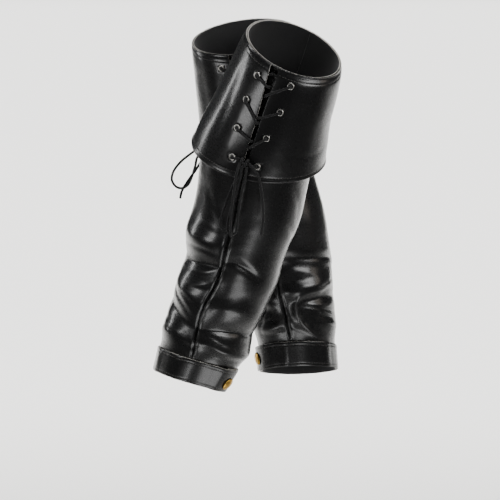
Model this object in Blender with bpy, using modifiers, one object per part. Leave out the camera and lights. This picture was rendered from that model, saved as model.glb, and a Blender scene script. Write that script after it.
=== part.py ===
"""Pair of laced boot covers in black imitation leather, in the pose they take on crossed legs.

Each cover is a tapered shaft of two panels, a flared cuff turned down over its top, an ankle
strap with a press snap, and a lace through four pairs of eyelets, tied in a bow.
The origin lies midway between the two top openings. Front is -Y, up is +Z.
Tables are in millimetres and degrees; meshes are in metres.
"""
import bisect
import math

import bmesh
import bpy
from mathutils import Matrix, Vector

MM = 0.001
CLOTH = 1.4            # thickness of every panel
SEAM_GAP = 0.3         # between the two panels at a seam
EDGE_STRIP = 4.0       # first and last column of a panel, so its edges meet squarely
COLUMNS = 10           # columns of a half tube between its two edge strips
COLUMN_EASE = 1.35     # above 1 makes them narrower towards the front

LACE = 3.6             # diameter of the braided lace

WASHER = 4.75          # outer radius of an eyelet
BARREL = 3.2           # outer radius of its barrel
BORE = 2.7             # radius of its hole
FLARE = 3.9            # radius of the rolled back edge
PUNCH = 3.5            # radius of the hole in the leather
PUNCH_LENGTH = 8.0
EYELET_STEPS = 8

STRAP_HEIGHT = 38.0
STRAP_THICK = 2.2
STRAP_LIFT = 0.7       # from the shaft to the inner face of the strap
STRAP_LAP = 22.0       # degrees by which the strap's ends overlap
STRAP_RISE = (336.0, 356.0)  # degrees round the strap where its outer end climbs on the inner
STRAP_LAP_GAP = 0.5
STRAP_STEPS = 30
STRAP_ROWS = 2
STRAP_OVERHANG = 0.6   # below the hem
SNAP_RADIUS = 9.5
SNAP_HEIGHT = 4.0

KNOT = (6.4, 6.9, 4.9)  # half sizes across, along and out from the cuff
KNOT_LIFT = 5.9
KNOT_PINCH = 0.12      # share by which its three lobes stand out

# Profiles of the turned pieces. Columns: radius, height above the leather.
EYELET_PROFILE = ((BORE, 1.0), (3.7, 1.3), (WASHER, 0.4), (BARREL, 0.4), (BARREL, -2.3),
                  (FLARE, -2.3), (BORE, -2.6))
SNAP_PROFILE = ((0.0, SNAP_HEIGHT), (4.4, SNAP_HEIGHT - 0.3), (7.6, SNAP_HEIGHT - 1.3),
                (SNAP_RADIUS, SNAP_HEIGHT - 2.7), (SNAP_RADIUS, 0.3), (0.0, 0.3))

# Centre line and outer form of each shaft. Half width is from side to side, half depth from
# front to back. Roll turns the section's right side down, dip its front side down, and seam
# is the angle of the front seam, where 0 faces front and plus is towards +X. Drop is the
# distance down from the top opening, along the centre line.
# Columns: drop, x, y, z, half width, half depth, roll, dip, seam.
LEFT_AXIS = (
    (0, 29, -100, 12, 64.0, 69.0, 17.5, 20, -23.5),
    (38, 18, -95, -24, 67.5, 70.0, 16.0, 16, -21.5),
    (83, 3, -90, -66, 72.0, 70.0, 14.0, 12, -18),
    (157, -19, -80, -136, 75.0, 69.0, 13.0, 8, -13.5),
    (230, -31, -70, -207, 73.0, 67.0, 13.0, 2, -15),
    (288, -48, -62, -263, 69.5, 65.0, 14.0, -2, -12),
    (337, -57, -55, -310, 65.5, 64.0, 15.0, -5, -15),
    (376, -72, -49, -346, 64.0, 63.0, 16.0, -8, -16),
    (407, -82, -45, -376, 63.0, 62.0, 16.5, -10, -17),
    (445, -92, -39, -411, 61.5, 61.0, 17.0, -12, -13),
    (466, -100, -36, -431, 57.0, 59.0, 17.0, -13, -10),
    (506, -114, -30, -467, 51.5, 57.0, 17.0, -14, -9),
)
RIGHT_AXIS = (
    (0, -37, 88, 3, 73.0, 61.0, -7.0, 15, -12),
    (63, -29, 91, -60, 74.0, 63.0, -7.0, 12, -12),
    (122, -20, 93, -118, 75.0, 64.0, -7.0, 9, -12),
    (189, -16, 96, -184, 75.0, 64.0, -7.0, 5, -12),
    (242, 0, 98, -236, 73.0, 65.0, -8.0, 1, -13),
    (274, 10, 100, -267, 71.0, 65.0, -8.0, -2, -14),
    (320, 20, 102, -312, 68.0, 64.0, -8.0, -5, -14),
    (367, 27, 104, -358, 65.5, 63.0, -7.0, -9, -14),
    (398, 32, 105, -389, 63.0, 62.0, -6.0, -13, -14),
    (437, 37, 107, -428, 61.0, 61.0, -3.5, -19, -12),
    (466, 40, 109, -457, 57.0, 59.0, -1.5, -24, -11),
    (507, 44, 111, -498, 56.0, 58.0, -1.5, -24, -10),
)

# Outer form of each cuff, on the same centre line.
# Columns: drop, half width, half depth, roll, dip.
LEFT_CUFF = (
    (0, 66.0, 71.0, 17.5, 20.0),
    (12, 69.5, 75.0, 17.0, 19.5),
    (40, 73.5, 76.5, 16.0, 18.0),
    (83, 78.5, 77.0, 13.5, 17.0),
    (120, 86.0, 76.0, 11.0, 16.5),
    (149, 91.0, 75.0, 7.0, 23.0),
)
RIGHT_CUFF = (
    (0, 75.0, 63.0, -7.0, 15.0),
    (12, 76.0, 68.0, -7.0, 15.0),
    (40, 77.0, 70.5, -7.0, 14.5),
    (83, 79.0, 72.0, -7.0, 14.0),
    (122, 82.0, 74.0, -6.0, 13.0),
    (154, 86.0, 76.0, -5.0, 12.0),
)

# Rows of each panel, as the drops at which its cross sections are read.
LEFT_CUFF_ROWS = (0, 5, 12, 20, 32, 50, 70, 92, 112, 131, 149)
RIGHT_CUFF_ROWS = (0, 5, 12, 20, 32, 50, 70, 92, 113, 134, 154)
LEFT_ROWS = (0, 5, 12, 30, 75, 118, 157, 196, 232, 258, 272, 284, 300, 316, 332, 348, 364, 380,
             396, 410, 420, 431, 445, 457, 470, 506)
RIGHT_ROWS = (0, 5, 12, 30, 75, 118, 157, 190, 222, 252, 280, 305, 322, 338, 353, 368, 383, 398,
              412, 425, 438, 453, 470, 507)

# The slit in the cuff: open at the rim, and held just open by the lace below.
# Columns: drop, half width.
SLIT = ((0, 6.5), (20, 5.6), (45, 3.9), (80, 2.9), (154, 2.8))

# Eyelets, from the rim down, placed by their distance round from the middle of the slit.
# Columns: drop and distance on the minus side, drop and distance on the plus side.
LEFT_EYELETS = (
    (22, -20.0, 15.5, 27.0),
    (57, -24.5, 54.5, 24.0),
    (95, -25.0, 94, 17.0),
    (130, -20.0, 132.5, 15.0),
)
RIGHT_EYELETS = (
    (17, -19.0, 17, 22.0),
    (54, -23.0, 54, 22.0),
    (92, -23.0, 92, 18.0),
    (129, -19.0, 132, 15.0),
)
# Where the lace from the first three eyelets goes down through the slit.
# Columns: drop of the lace from the minus side, drop of the lace from the plus side.
DIVES = ((28, 40), (78, 71), (104, 113))
BAR_DROP = 10.0        # of the hidden lace between the top two eyelets
BAR_END = 0.9          # from the middle of the slit to the end of each half lace
BAR_LIFT = -4.2

# The lace round an eyelet and over the slit's edge.
# Columns: distance from the middle of the eyelet or of the slit, lift off the leather.
COMING_UNDER = ((7.5, -4.1), (4.2, -5.0), (1.5, -4.6), (0.0, -2.0))
GOING_OVER = ((0.0, 0.6), (1.3, 3.4), (4.0, 4.0), (7.5, 2.6))
THROUGH_SLIT = ((-2.8, 2.4), (-0.8, 1.2), (0.8, -2.6), (2.8, -4.0))

# The knot and the laces that meet it: drop, distance round from the slit, and lift.
KNOT_PLACE = (130.0, -1.0)
KNOT_FROM_MINUS = (128.0, -7.6, 4.8)
KNOT_FROM_PLUS = (132.0, 4.4, 4.8)

# The hollow that the lace presses into the shaft behind the slit.
DENT_DEPTH = 5.5
DENT_SPREAD = 32.0
DENT_TOP = (2.0, 16.0)      # drops where it starts and where it is full
DENT_FOOT = (140.0, 160.0)  # drops where it starts to fade and where it ends

# Folds of the leather, as soft troughs (minus) and ridges (plus) along lines on the shaft.
# Columns: height, spread, then the angle and drop of each place that the fold runs through.
FOLD_END = 0.12             # share of a half wave that is already up at a fold's ends
LEFT_FOLDS = (
    (5.0, 14, (-92, 276), (-60, 281), (-38, 283), (-18, 284)),
    (-5.0, 12, (-92, 318), (-44, 317), (-26, 316), (-12, 314)),
    (-2.5, 6, (-10, 304), (3, 302), (18, 309), (33, 320)),
    (4.0, 13, (-92, 346), (-66, 360), (-45, 370), (-22, 380)),
    (-5.0, 12, (-94, 388), (-66, 400), (-40, 412), (-18, 424)),
    (3.5, 11, (-92, 436), (-60, 440), (-32, 446)),
    (4.0, 14, (-8, 384), (25, 378), (80, 382)),
    (-6.5, 11, (-11, 415), (20, 412), (48, 410), (94, 410)),
    (5.0, 10, (-9, 442), (24, 446), (42, 447), (96, 443)),
    (-4.5, 10, (100, 285), (130, 296), (165, 288)),
    (3.0, 12, (104, 318), (135, 328), (166, 316)),
    (-4.0, 11, (96, 350), (125, 362), (152, 380)),
    (-5.5, 10, (112, 408), (145, 416), (172, 406)),
    (-4.0, 10, (-170, 302), (-140, 312), (-108, 316)),
    (3.0, 12, (-165, 338), (-135, 336), (-106, 346)),
    (-4.5, 10, (-166, 372), (-140, 364), (-108, 386)),
    (-5.0, 10, (-172, 416), (-140, 424), (-104, 420)),
)
RIGHT_FOLDS = (
    (-2.0, 6, (4, 321), (34, 329), (82, 339)),
    (-3.0, 12, (-10, 338), (10, 334), (32, 338), (56, 350)),
    (5.5, 13, (-10, 384), (8, 381), (24, 378), (42, 376), (58, 374)),
    (-4.5, 8, (12, 399), (26, 398), (50, 394), (86, 396)),
    (3.0, 6, (10, 387), (4, 404), (4, 422), (9, 439), (19, 454), (34, 463)),
    (-3.0, 9, (-10, 388), (-8, 412), (-3, 438)),
    (2.5, 8, (30, 436), (56, 442), (84, 440)),
    (-4.0, 10, (-80, 352), (-50, 360), (-24, 356)),
    (-4.5, 10, (-84, 410), (-50, 404), (-24, 418)),
    (3.0, 8, (-70, 440), (-40, 446), (-18, 442)),
    (-4.0, 11, (102, 300), (132, 312), (164, 305)),
    (3.0, 12, (98, 345), (130, 352), (166, 340)),
    (-5.0, 10, (96, 380), (128, 388), (170, 376)),
    (-4.5, 9, (104, 425), (140, 434), (172, 424)),
    (-4.0, 11, (-170, 290), (-140, 302), (-106, 296)),
    (3.0, 12, (-168, 338), (-135, 330), (-104, 342)),
    (-5.0, 10, (-170, 372), (-138, 384), (-102, 374)),
    (-4.5, 9, (-168, 422), (-140, 430), (-104, 420)),
)

# The bow's loops and tails. Columns: x, y, z from the middle of the knot.
LEFT_BOW = {
    "loop_a": ((-6.5, 1.0, -3.7), (-9, 2, -16), (-17, 3, -36), (-25, 4, -57), (-31, 5, -75),
               (-32, 5, -85), (-27, 5, -91), (-20, 5, -88), (-17, 4, -76), (-14, 3, -56),
               (-9, 2, -34), (-4, 1, -16), (-0.8, -0.1, -7.4)),
    "loop_b": ((-2.9, -5.0, -3.4), (-6, -6, -19), (-12, -5, -41), (-18, -4, -62), (-22, -3, -80),
               (-22, -3, -90), (-17, -3, -95), (-11, -3, -92), (-9, -3, -78), (-7, -4, -57),
               (-3, -5, -36), (1, -5.5, -18), (3.1, -4.4, -5.1)),
    "tail_a": ((-5.8, -3.9, 0.6), (-10, -9, -12), (-13, -10, -30), (-16, -9, -52), (-18, -8, -74),
               (-18, -7, -98)),
    "tail_b": ((5.7, -3.4, -0.4), (12, -6, -7), (19, -6, -19), (23, -5, -44), (25, -3, -71),
               (22, -2, -97)),
}
RIGHT_BOW = {
    "loop_a": ((-6.0, -3.7, -0.6), (-20, -2, -1), (-45, 12, 2), (-62, 24, -4), (-72, 26, -12),
               (-87, 26, -24), (-98, 26, -38), (-101, 26, -51), (-95, 26, -61), (-86, 26, -63),
               (-78, 26, -58), (-73, 26, -48), (-68, 26, -32), (-63, 24, -16), (-45, 12, -6),
               (-20, 0, -6.5), (-3.6, -3.2, -5.6)),
    "loop_b": ((5.1, -4.3, -0.7), (21, -6, -7), (35, -4, -26), (39, -3, -50), (36, -2, -66),
               (29, -2, -71), (23, -2, -66), (21, -2, -50), (16, -3, -30), (8, -5, -14),
               (3.5, -3.5, -5.9)),
    "tail_a": ((-2.6, -5.6, -2.2), (-16, -8, -8), (-42, 4, -13), (-57, 13, -21), (-67, 14, -35),
               (-77, 14, -49), (-86, 14, -64), (-89, 14, -76)),
    "tail_b": ((1.4, -6.3, -2.1), (1, -9, -20), (2, -7, -45), (3, -6, -70), (2, -5, -95)),
}

LEFT = {"name": "left", "axis": LEFT_AXIS, "cuff": LEFT_CUFF,
        "shaft_rows": LEFT_ROWS, "cuff_rows": LEFT_CUFF_ROWS,
        "eyelets": LEFT_EYELETS, "folds": LEFT_FOLDS, "bow": LEFT_BOW,
        "minus_side": "inner", "plus_side": "outer", "snap_angle": 61.0, "snap_rise": 14.5,
        "lap_turn": 1}
RIGHT = {"name": "right", "axis": RIGHT_AXIS, "cuff": RIGHT_CUFF,
         "shaft_rows": RIGHT_ROWS, "cuff_rows": RIGHT_CUFF_ROWS,
         "eyelets": RIGHT_EYELETS, "folds": RIGHT_FOLDS, "bow": RIGHT_BOW,
         "minus_side": "outer", "plus_side": "inner", "snap_angle": -75.0, "snap_rise": 18.0,
         "lap_turn": -1}


def clear_scene():
    """Start from an empty scene."""
    for thing in list(bpy.data.objects):
        bpy.data.objects.remove(thing, do_unlink=True)


def make_material(name, colour, roughness, metallic=0.0):
    """A Principled material of one finish."""
    material = bpy.data.materials.new(name)
    material.use_nodes = True
    shader = material.node_tree.nodes["Principled BSDF"]
    shader.inputs["Base Color"].default_value = (*colour, 1.0)
    shader.inputs["Roughness"].default_value = roughness
    shader.inputs["Metallic"].default_value = metallic
    return material


def read_table(rows, drop):
    """The values of a table at any drop, on a smooth curve through its rows."""
    drops = [row[0] for row in rows]
    first = min(max(bisect.bisect_right(drops, drop) - 1, 0), len(rows) - 2)
    start, end = rows[first], rows[first + 1]
    before, after = rows[max(first - 1, 0)], rows[min(first + 2, len(rows) - 1)]
    span = end[0] - start[0]
    u = (drop - start[0]) / span
    values = []
    for column in range(1, len(start)):
        slope_start = (end[column] - before[column]) / (end[0] - before[0]) * span
        slope_end = (after[column] - start[column]) / (after[0] - start[0]) * span
        values.append((2 * u**3 - 3 * u**2 + 1) * start[column] + (u**3 - 2 * u**2 + u) * slope_start
                      + (3 * u**2 - 2 * u**3) * end[column] + (u**3 - u**2) * slope_end)
    return values


def section(cover, cloth, drop):
    """The ellipse of the shaft or the cuff at a drop: centre, side arm, front arm and seam."""
    x, y, z, width, depth, roll, dip, seam = read_table(cover["axis"], drop)
    if cloth == "cuff":
        width, depth, roll, dip = read_table(cover["cuff"], drop)
    roll, dip = math.radians(roll), math.radians(dip)
    side = Vector((math.cos(roll), 0.0, -math.sin(roll))) * width
    front = Vector((0.0, -math.cos(dip), -math.sin(dip))) * depth
    return Vector((x, y, z)), side, front, seam


def fold_reach(point, places):
    """Distance from a point to a line of places, and the share of the line at its foot."""
    best = None
    for step, (start, end) in enumerate(zip(places, places[1:])):
        run = end - start
        along = max(0.0, min(1.0, (point - start).dot(run) / run.length_squared))
        reach = (point - start - run * along).length
        if best is None or reach < best[0]:
            best = reach, (step + along) / (len(places) - 1)
    return best


def between(value, start, end):
    """How far a value has come from start to end, kept from 0 to 1."""
    return min(1.0, max(0.0, (value - start) / (end - start)))


def lace_dent(drop, from_seam):
    """The hollow that the lace presses into the shaft behind the slit of the cuff."""
    ends = between(drop, *DENT_TOP) * (1.0 - between(drop, *DENT_FOOT))
    return -DENT_DEPTH * ends * math.exp(-(from_seam / DENT_SPREAD) ** 2)


def relief(cover, cloth, drop, angle, seam, radius):
    """How far the folds lift the cloth at a point."""
    if cloth == "cuff":
        return 0.0
    from_seam = math.radians((angle - seam + 180.0) % 360.0 - 180.0) * radius
    lift = lace_dent(drop, from_seam)
    turned = (angle + 180.0) % 360.0 - 180.0
    here = Vector((math.radians(turned) * radius, drop))
    for height, spread, *places in cover["folds"]:
        line = [Vector((math.radians(a) * radius, d)) for a, d in places]
        reach, along = fold_reach(here, line)
        fade = math.sin(math.pi * (FOLD_END + (1.0 - 2 * FOLD_END) * along))
        lift += height * math.exp(-(reach / spread) ** 2) * fade
    return lift


def cloth_point(cover, cloth, drop, angle):
    """A point of the outer face of the shaft or the cuff, in millimetres."""
    centre, side, front, seam = section(cover, cloth, drop)
    turn = math.radians(angle)
    outward = side / side.length_squared * math.sin(turn) + front / front.length_squared * math.cos(turn)
    radius = (side.length + front.length) / 2
    lift = relief(cover, cloth, drop, angle, seam, radius)
    return centre + side * math.sin(turn) + front * math.cos(turn) + outward.normalized() * lift


def angle_at(cover, cloth, drop, offset):
    """The angle of a point that lies offset millimetres round from the seam."""
    seam = section(cover, cloth, drop)[3]
    return seam + math.degrees(offset / arm_length(cover, cloth, drop, seam))


def arm_length(cover, cloth, drop, angle):
    """Millimetres round the section for each radian at an angle."""
    centre, side, front, seam = section(cover, cloth, drop)
    turn = math.radians(angle)
    return math.hypot(side.length * math.cos(turn), front.length * math.sin(turn))


def cloth_frame(cover, cloth, drop, angle):
    """A point of the cloth, and the directions across, down and out from it there."""
    point = cloth_point(cover, cloth, drop, angle)
    across = (cloth_point(cover, cloth, drop, angle + 0.5) - point).normalized()
    down = (cloth_point(cover, cloth, drop + 0.5, angle) - point).normalized()
    out = down.cross(across).normalized()
    return point, across, down, out


def off_cloth(cover, cloth, drop, angle, lift):
    """A point lifted straight off the cloth, in millimetres."""
    point, across, down, out = cloth_frame(cover, cloth, drop, angle)
    return point + out * lift


def on_cuff(cover, drop, offset, lift):
    """A point offset round from the slit and lifted off the cuff, in millimetres."""
    return off_cloth(cover, "cuff", drop, angle_at(cover, "cuff", drop, offset), lift)


def add_object(name, mesh, material, collection):
    """Put a mesh in the scene as one smooth named object."""
    thing = bpy.data.objects.new(name, mesh)
    collection.objects.link(thing)
    if material:
        mesh.materials.append(material)
    mesh.shade_smooth()
    return thing


def solid_sheet(name, rows, columns, place, thick, material, collection):
    """A grid whose points a function places, made a wall of cloth towards its inner side."""
    mesh = bpy.data.meshes.new(name)
    grid = bmesh.new()
    bmesh.ops.create_grid(grid, x_segments=columns, y_segments=rows, size=0.5)
    for vertex in grid.verts:
        column = round((vertex.co.x + 0.5) * columns)
        row = rows - round((vertex.co.y + 0.5) * rows)
        vertex.co = place(row, column) * MM
    grid.to_mesh(mesh)
    grid.free()
    sheet = add_object(name, mesh, material, collection)
    wall = sheet.modifiers.new("wall", "SOLIDIFY")
    wall.thickness = thick * MM
    wall.offset = -1.0
    return sheet


def panel_angle(cover, cloth, drop, column, sign):
    """The angle of one column of a half tube, from its front edge to its back edge."""
    seam = section(cover, cloth, drop)[3]
    front_arm = arm_length(cover, cloth, drop, seam)
    back_arm = arm_length(cover, cloth, drop, seam + 180.0)
    front_gap = SEAM_GAP / 2
    if cloth == "cuff":
        front_gap = read_table(SLIT, drop)[0]
    front = math.degrees(front_gap / front_arm)
    back = 180.0 - math.degrees(SEAM_GAP / 2 / back_arm)
    strip = math.degrees(EDGE_STRIP / front_arm)
    last = COLUMNS + 2
    if column == 0:
        turn = front
    elif column == last:
        turn = back
    else:
        reach = ((column - 1) / COLUMNS) ** COLUMN_EASE
        turn = front + strip + (back - front - 2 * strip) * reach
    return seam + sign * turn


def make_panel(cover, cloth, sign, rows, material, collection):
    """One half of the shaft or of the cuff, from the front seam or slit to the back seam."""
    side = cover["plus_side"] if sign > 0 else cover["minus_side"]
    last = COLUMNS + 2

    def place(row, column):
        step = column if sign > 0 else last - column
        angle = panel_angle(cover, cloth, rows[row], step, sign)
        return cloth_point(cover, cloth, rows[row], angle)

    name = f"{cover['name']}_{cloth}_{side}"
    return solid_sheet(name, len(rows) - 1, last, place, CLOTH, material, collection)


def eyelet_places(cover, sign):
    """Drop and offset of the four eyelets of one side, from the rim down."""
    if sign < 0:
        return [(row[0], row[1]) for row in cover["eyelets"]]
    return [(row[2], row[3]) for row in cover["eyelets"]]


def placed(cover, cloth, drop, angle, lift=0.0):
    """The matrix that sets a turned piece on the cloth, its axis out of the leather."""
    point, across, down, out = cloth_frame(cover, cloth, drop, angle)
    turn = Matrix((across, out.cross(across), out)).transposed().to_4x4()
    return Matrix.Translation((point + out * lift) * MM) @ turn


def eyelet_matrix(cover, drop, offset):
    """Where an eyelet and its hole sit."""
    return placed(cover, "cuff", drop, angle_at(cover, "cuff", drop, offset))


def punch_holes(panel, cover, sign, cutters):
    """Cut the four eyelet holes through a cuff panel."""
    mesh = bpy.data.meshes.new(f"{panel.name}_punch")
    tools = bmesh.new()
    for drop, offset in eyelet_places(cover, sign):
        bmesh.ops.create_cone(tools, cap_ends=True, segments=EYELET_STEPS, radius1=PUNCH * MM,
                              radius2=PUNCH * MM, depth=PUNCH_LENGTH * MM,
                              matrix=eyelet_matrix(cover, drop, offset))
    tools.to_mesh(mesh)
    tools.free()
    punch = add_object(mesh.name, mesh, None, cutters)
    punch.hide_render = True
    punch.display_type = "WIRE"
    cut = panel.modifiers.new("holes", "BOOLEAN")
    cut.operation = "DIFFERENCE"
    cut.solver = "EXACT"
    cut.object = punch


def turned_piece(name, profile, closed, steps, matrix, material, collection):
    """A profile of radius and height pairs in millimetres, turned about its own Z."""
    mesh = bpy.data.meshes.new(name)
    points = [(radius * MM, 0.0, height * MM) for radius, height in profile]
    edges = [(i, i + 1) for i in range(len(points) - 1)]
    if closed:
        edges.append((len(points) - 1, 0))
    mesh.from_pydata(points, edges, [])
    piece = add_object(name, mesh, material, collection)
    turn = piece.modifiers.new("turn", "SCREW")
    turn.steps = steps
    turn.render_steps = steps
    turn.use_merge_vertices = True
    turn.merge_threshold = 0.00001
    piece.matrix_world = matrix
    return piece


def smooth_route(route, count):
    """Points on a smooth curve through a route."""
    before = 2 * route[0] - route[1]
    after = 2 * route[-1] - route[-2]
    ends = [before, *route, after]
    points = []
    for i in range(1, len(ends) - 2):
        p0, p1, p2, p3 = ends[i - 1:i + 3]
        for step in range(count):
            u = step / count
            points.append(0.5 * (2 * p1 + (p2 - p0) * u + (2 * p0 - 5 * p1 + 4 * p2 - p3) * u**2
                                 + (3 * p1 - p0 - 3 * p2 + p3) * u**3))
    points.append(route[-1])
    return points


def lace_tube(name, points, material, collection):
    """A round lace along points in millimetres."""
    curve = bpy.data.curves.new(name, "CURVE")
    curve.dimensions = "3D"
    curve.bevel_depth = LACE / 2 * MM
    curve.bevel_resolution = 2
    curve.use_fill_caps = True
    line = curve.splines.new("POLY")
    line.points.add(len(points) - 1)
    for place, point in zip(line.points, points):
        place.co = (*(point * MM), 1.0)
    curve.materials.append(material)
    lace = bpy.data.objects.new(name, curve)
    collection.objects.link(lace)
    return lace


def towards(start, end):
    """The unit step from one drop and offset to another."""
    step = Vector((end[0] - start[0], end[1] - start[1]))
    return step.normalized()


def lace_route(cover, sign, knot_place):
    """The route of one half of the lace: under the rim, then down from side to side to the knot."""
    lefts, rights = eyelet_places(cover, -1), eyelet_places(cover, 1)
    here = lefts if sign < 0 else rights
    there = rights if sign < 0 else lefts
    route = [on_cuff(cover, BAR_DROP, sign * BAR_END, BAR_LIFT)]
    come = (BAR_DROP, 0.0)
    for row in range(len(here)):
        eyelet = here[row] if row % 2 == 0 else there[row]
        side = sign if row % 2 == 0 else -sign
        back = towards(eyelet, come)
        for distance, lift in COMING_UNDER:
            route.append(on_cuff(cover, eyelet[0] + back[0] * distance,
                                 eyelet[1] + back[1] * distance, lift))
        if row == len(here) - 1:
            break
        dive = (DIVES[row][0 if side < 0 else 1], 0.0)
        ahead = towards(eyelet, dive)
        for distance, lift in GOING_OVER:
            route.append(on_cuff(cover, eyelet[0] + ahead[0] * distance,
                                 eyelet[1] + ahead[1] * distance, lift))
        for distance, lift in THROUGH_SLIT:
            route.append(on_cuff(cover, dive[0] + ahead[0] * distance,
                                 dive[1] + ahead[1] * distance, lift))
        come = dive
    ahead = towards(eyelet, knot_place[:2])
    for distance, lift in GOING_OVER[:-1]:
        route.append(on_cuff(cover, eyelet[0] + ahead[0] * distance,
                             eyelet[1] + ahead[1] * distance, lift))
    route.append(on_cuff(cover, *knot_place))
    return route


def make_knot(cover, material, collection):
    """The knot of the bow, a soft lump over the slit."""
    drop, offset = KNOT_PLACE
    angle = angle_at(cover, "cuff", drop, offset)
    point, across, down, out = cloth_frame(cover, "cuff", drop, angle)
    centre = point + out * KNOT_LIFT
    mesh = bpy.data.meshes.new(f"{cover['name']}_bow_knot")
    lump = bmesh.new()
    bmesh.ops.create_icosphere(lump, subdivisions=2, radius=1.0)
    for vertex in lump.verts:
        along = vertex.co
        pinch = 1.0 - KNOT_PINCH * math.cos(3 * math.atan2(along.y, along.x))
        vertex.co = (centre + across * (along.x * KNOT[0] * pinch) - down * (along.y * KNOT[1] * pinch)
                     + out * (along.z * KNOT[2])) * MM
    lump.to_mesh(mesh)
    lump.free()
    add_object(mesh.name, mesh, material, collection)
    return centre


def make_strap(cover, leather, brass, collection):
    """The ankle strap, lapped over its own end, and the domed cap of its snap."""
    hem = cover["axis"][-1][0]
    turn, lap_turn = cover["snap_angle"], cover["lap_turn"]
    whole = 360.0 + STRAP_LAP

    def angle_and_lift(u):
        rise = between(u * whole, *STRAP_RISE) * (STRAP_THICK + STRAP_LAP_GAP)
        return turn + lap_turn * (u * whole - STRAP_LAP / 2), rise

    def place(row, column):
        u = column / STRAP_STEPS if lap_turn > 0 else 1.0 - column / STRAP_STEPS
        angle, rise = angle_and_lift(u)
        drop = hem + STRAP_OVERHANG - STRAP_HEIGHT * (1.0 - row / STRAP_ROWS)
        return off_cloth(cover, "shaft", drop, angle, STRAP_LIFT + STRAP_THICK + rise)

    solid_sheet(f"{cover['name']}_strap", STRAP_ROWS, STRAP_STEPS, place, STRAP_THICK, leather, collection)
    lapped = STRAP_LIFT + 2 * STRAP_THICK + STRAP_LAP_GAP
    matrix = placed(cover, "shaft", hem - cover["snap_rise"], turn, lapped)
    turned_piece(f"{cover['name']}_snap", SNAP_PROFILE, False, 16, matrix, brass, collection)


def make_cover(cover, finishes, collection, cutters):
    """One whole boot cover."""
    leather, steel, brass, braid = finishes
    for sign in (-1, 1):
        make_panel(cover, "shaft", sign, cover["shaft_rows"], leather, collection)
        cuff = make_panel(cover, "cuff", sign, cover["cuff_rows"], leather, collection)
        punch_holes(cuff, cover, sign, cutters)
        side = cover["plus_side"] if sign > 0 else cover["minus_side"]
        for row, (drop, offset) in enumerate(eyelet_places(cover, sign)):
            turned_piece(f"{cover['name']}_eyelet_{side}_{row + 1}", EYELET_PROFILE, True,
                         EYELET_STEPS, eyelet_matrix(cover, drop, offset), steel, collection)
        # A half lace crosses three times, so it reaches the knot from the other side.
        meets = KNOT_FROM_PLUS if sign < 0 else KNOT_FROM_MINUS
        route = lace_route(cover, sign, meets)
        lace_tube(f"{cover['name']}_lace_from_{side}", smooth_route(route, 1), braid, collection)
    make_strap(cover, leather, brass, collection)
    knot = make_knot(cover, braid, collection)
    for piece, rows in cover["bow"].items():
        route = [knot + Vector(row) for row in rows]
        lace_tube(f"{cover['name']}_bow_{piece}", smooth_route(route, 2), braid, collection)


def main():
    """Build the pair."""
    clear_scene()
    collection = bpy.data.collections.new("boot_covers")
    cutters = bpy.data.collections.new("cutters")
    bpy.context.scene.collection.children.link(collection)
    bpy.context.scene.collection.children.link(cutters)
    finishes = (make_material("black_imitation_leather", (0.008, 0.008, 0.009), 0.28),
                make_material("nickel_plated_steel", (0.60, 0.59, 0.57), 0.22, 1.0),
                make_material("polished_brass", (0.66, 0.46, 0.16), 0.24, 1.0),
                make_material("black_braided_lace", (0.006, 0.006, 0.006), 0.85))
    for cover in (LEFT, RIGHT):
        make_cover(cover, finishes, collection, cutters)


main()
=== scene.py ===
"""Looks of a pair of laced boot covers in glossy black imitation leather.

Each leather panel is a fine wall on its solid's own form, with the creases of worn, soft leather.
Laces are braided cords, eyelets and snaps are turned metal, and stitching is laid thread by thread.
Tables are in millimetres and degrees, as on a maker's pattern; meshes are in metres.
"""
import bisect
import math

import bmesh
import bpy
import numpy as np
from mathutils import Matrix, Vector, noise


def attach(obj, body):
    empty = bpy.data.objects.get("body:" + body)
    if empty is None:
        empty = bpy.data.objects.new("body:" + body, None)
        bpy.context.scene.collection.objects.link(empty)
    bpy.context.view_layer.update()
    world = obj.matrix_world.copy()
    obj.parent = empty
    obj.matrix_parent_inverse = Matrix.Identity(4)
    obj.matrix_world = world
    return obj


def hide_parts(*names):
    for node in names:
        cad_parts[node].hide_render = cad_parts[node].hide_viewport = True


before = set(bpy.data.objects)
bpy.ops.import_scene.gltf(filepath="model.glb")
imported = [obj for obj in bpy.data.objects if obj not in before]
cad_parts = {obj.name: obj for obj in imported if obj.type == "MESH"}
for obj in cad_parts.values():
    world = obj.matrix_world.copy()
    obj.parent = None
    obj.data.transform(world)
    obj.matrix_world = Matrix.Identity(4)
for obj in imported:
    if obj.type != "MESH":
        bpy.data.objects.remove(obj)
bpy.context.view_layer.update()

MM = 0.001
CLOTH = 1.4            # thickness of every panel
SEAM_GAP = 0.05        # the two panels all but meet at a seam

LACE = 3.6             # diameter of the braided lace

BORE = 2.7             # radius of an eyelet's hole
BARREL = 3.2           # outer radius of its barrel
WASHER = 4.75          # outer radius of its rolled rim
FLARE = 3.9            # radius of its rolled back edge
PUNCH = 3.5            # radius of the hole in the leather

STRAP_HEIGHT = 38.0
STRAP_THICK = 2.2
STRAP_LIFT = 0.7       # from the shaft to the inner face of the strap
STRAP_LAP = 22.0       # degrees by which the strap's ends overlap
STRAP_RISE = (336.0, 356.0)  # degrees round the strap where its outer end climbs on the inner
STRAP_LAP_GAP = 0.5
STRAP_OVERHANG = 0.6   # below the hem
SNAP_RADIUS = 9.5
SNAP_HEIGHT = 4.0
SNAP_SEGMENTS = 40     # sides of the turned cap
EYELET_SEGMENTS = 32

KNOT_LIFT = 5.9        # from the cuff to the middle of the knot

# Camera: 14 degrees down, as in the photograph, on a 36 mm sensor.
CAMERA_PLACE = (-0.0288, -2.5900, 0.3592)
CAMERA_TILT = 76.0
CAMERA_LENS = 136.656
FLOOR_HEIGHT = -1.20   # the covers hang clear of the floor

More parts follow.
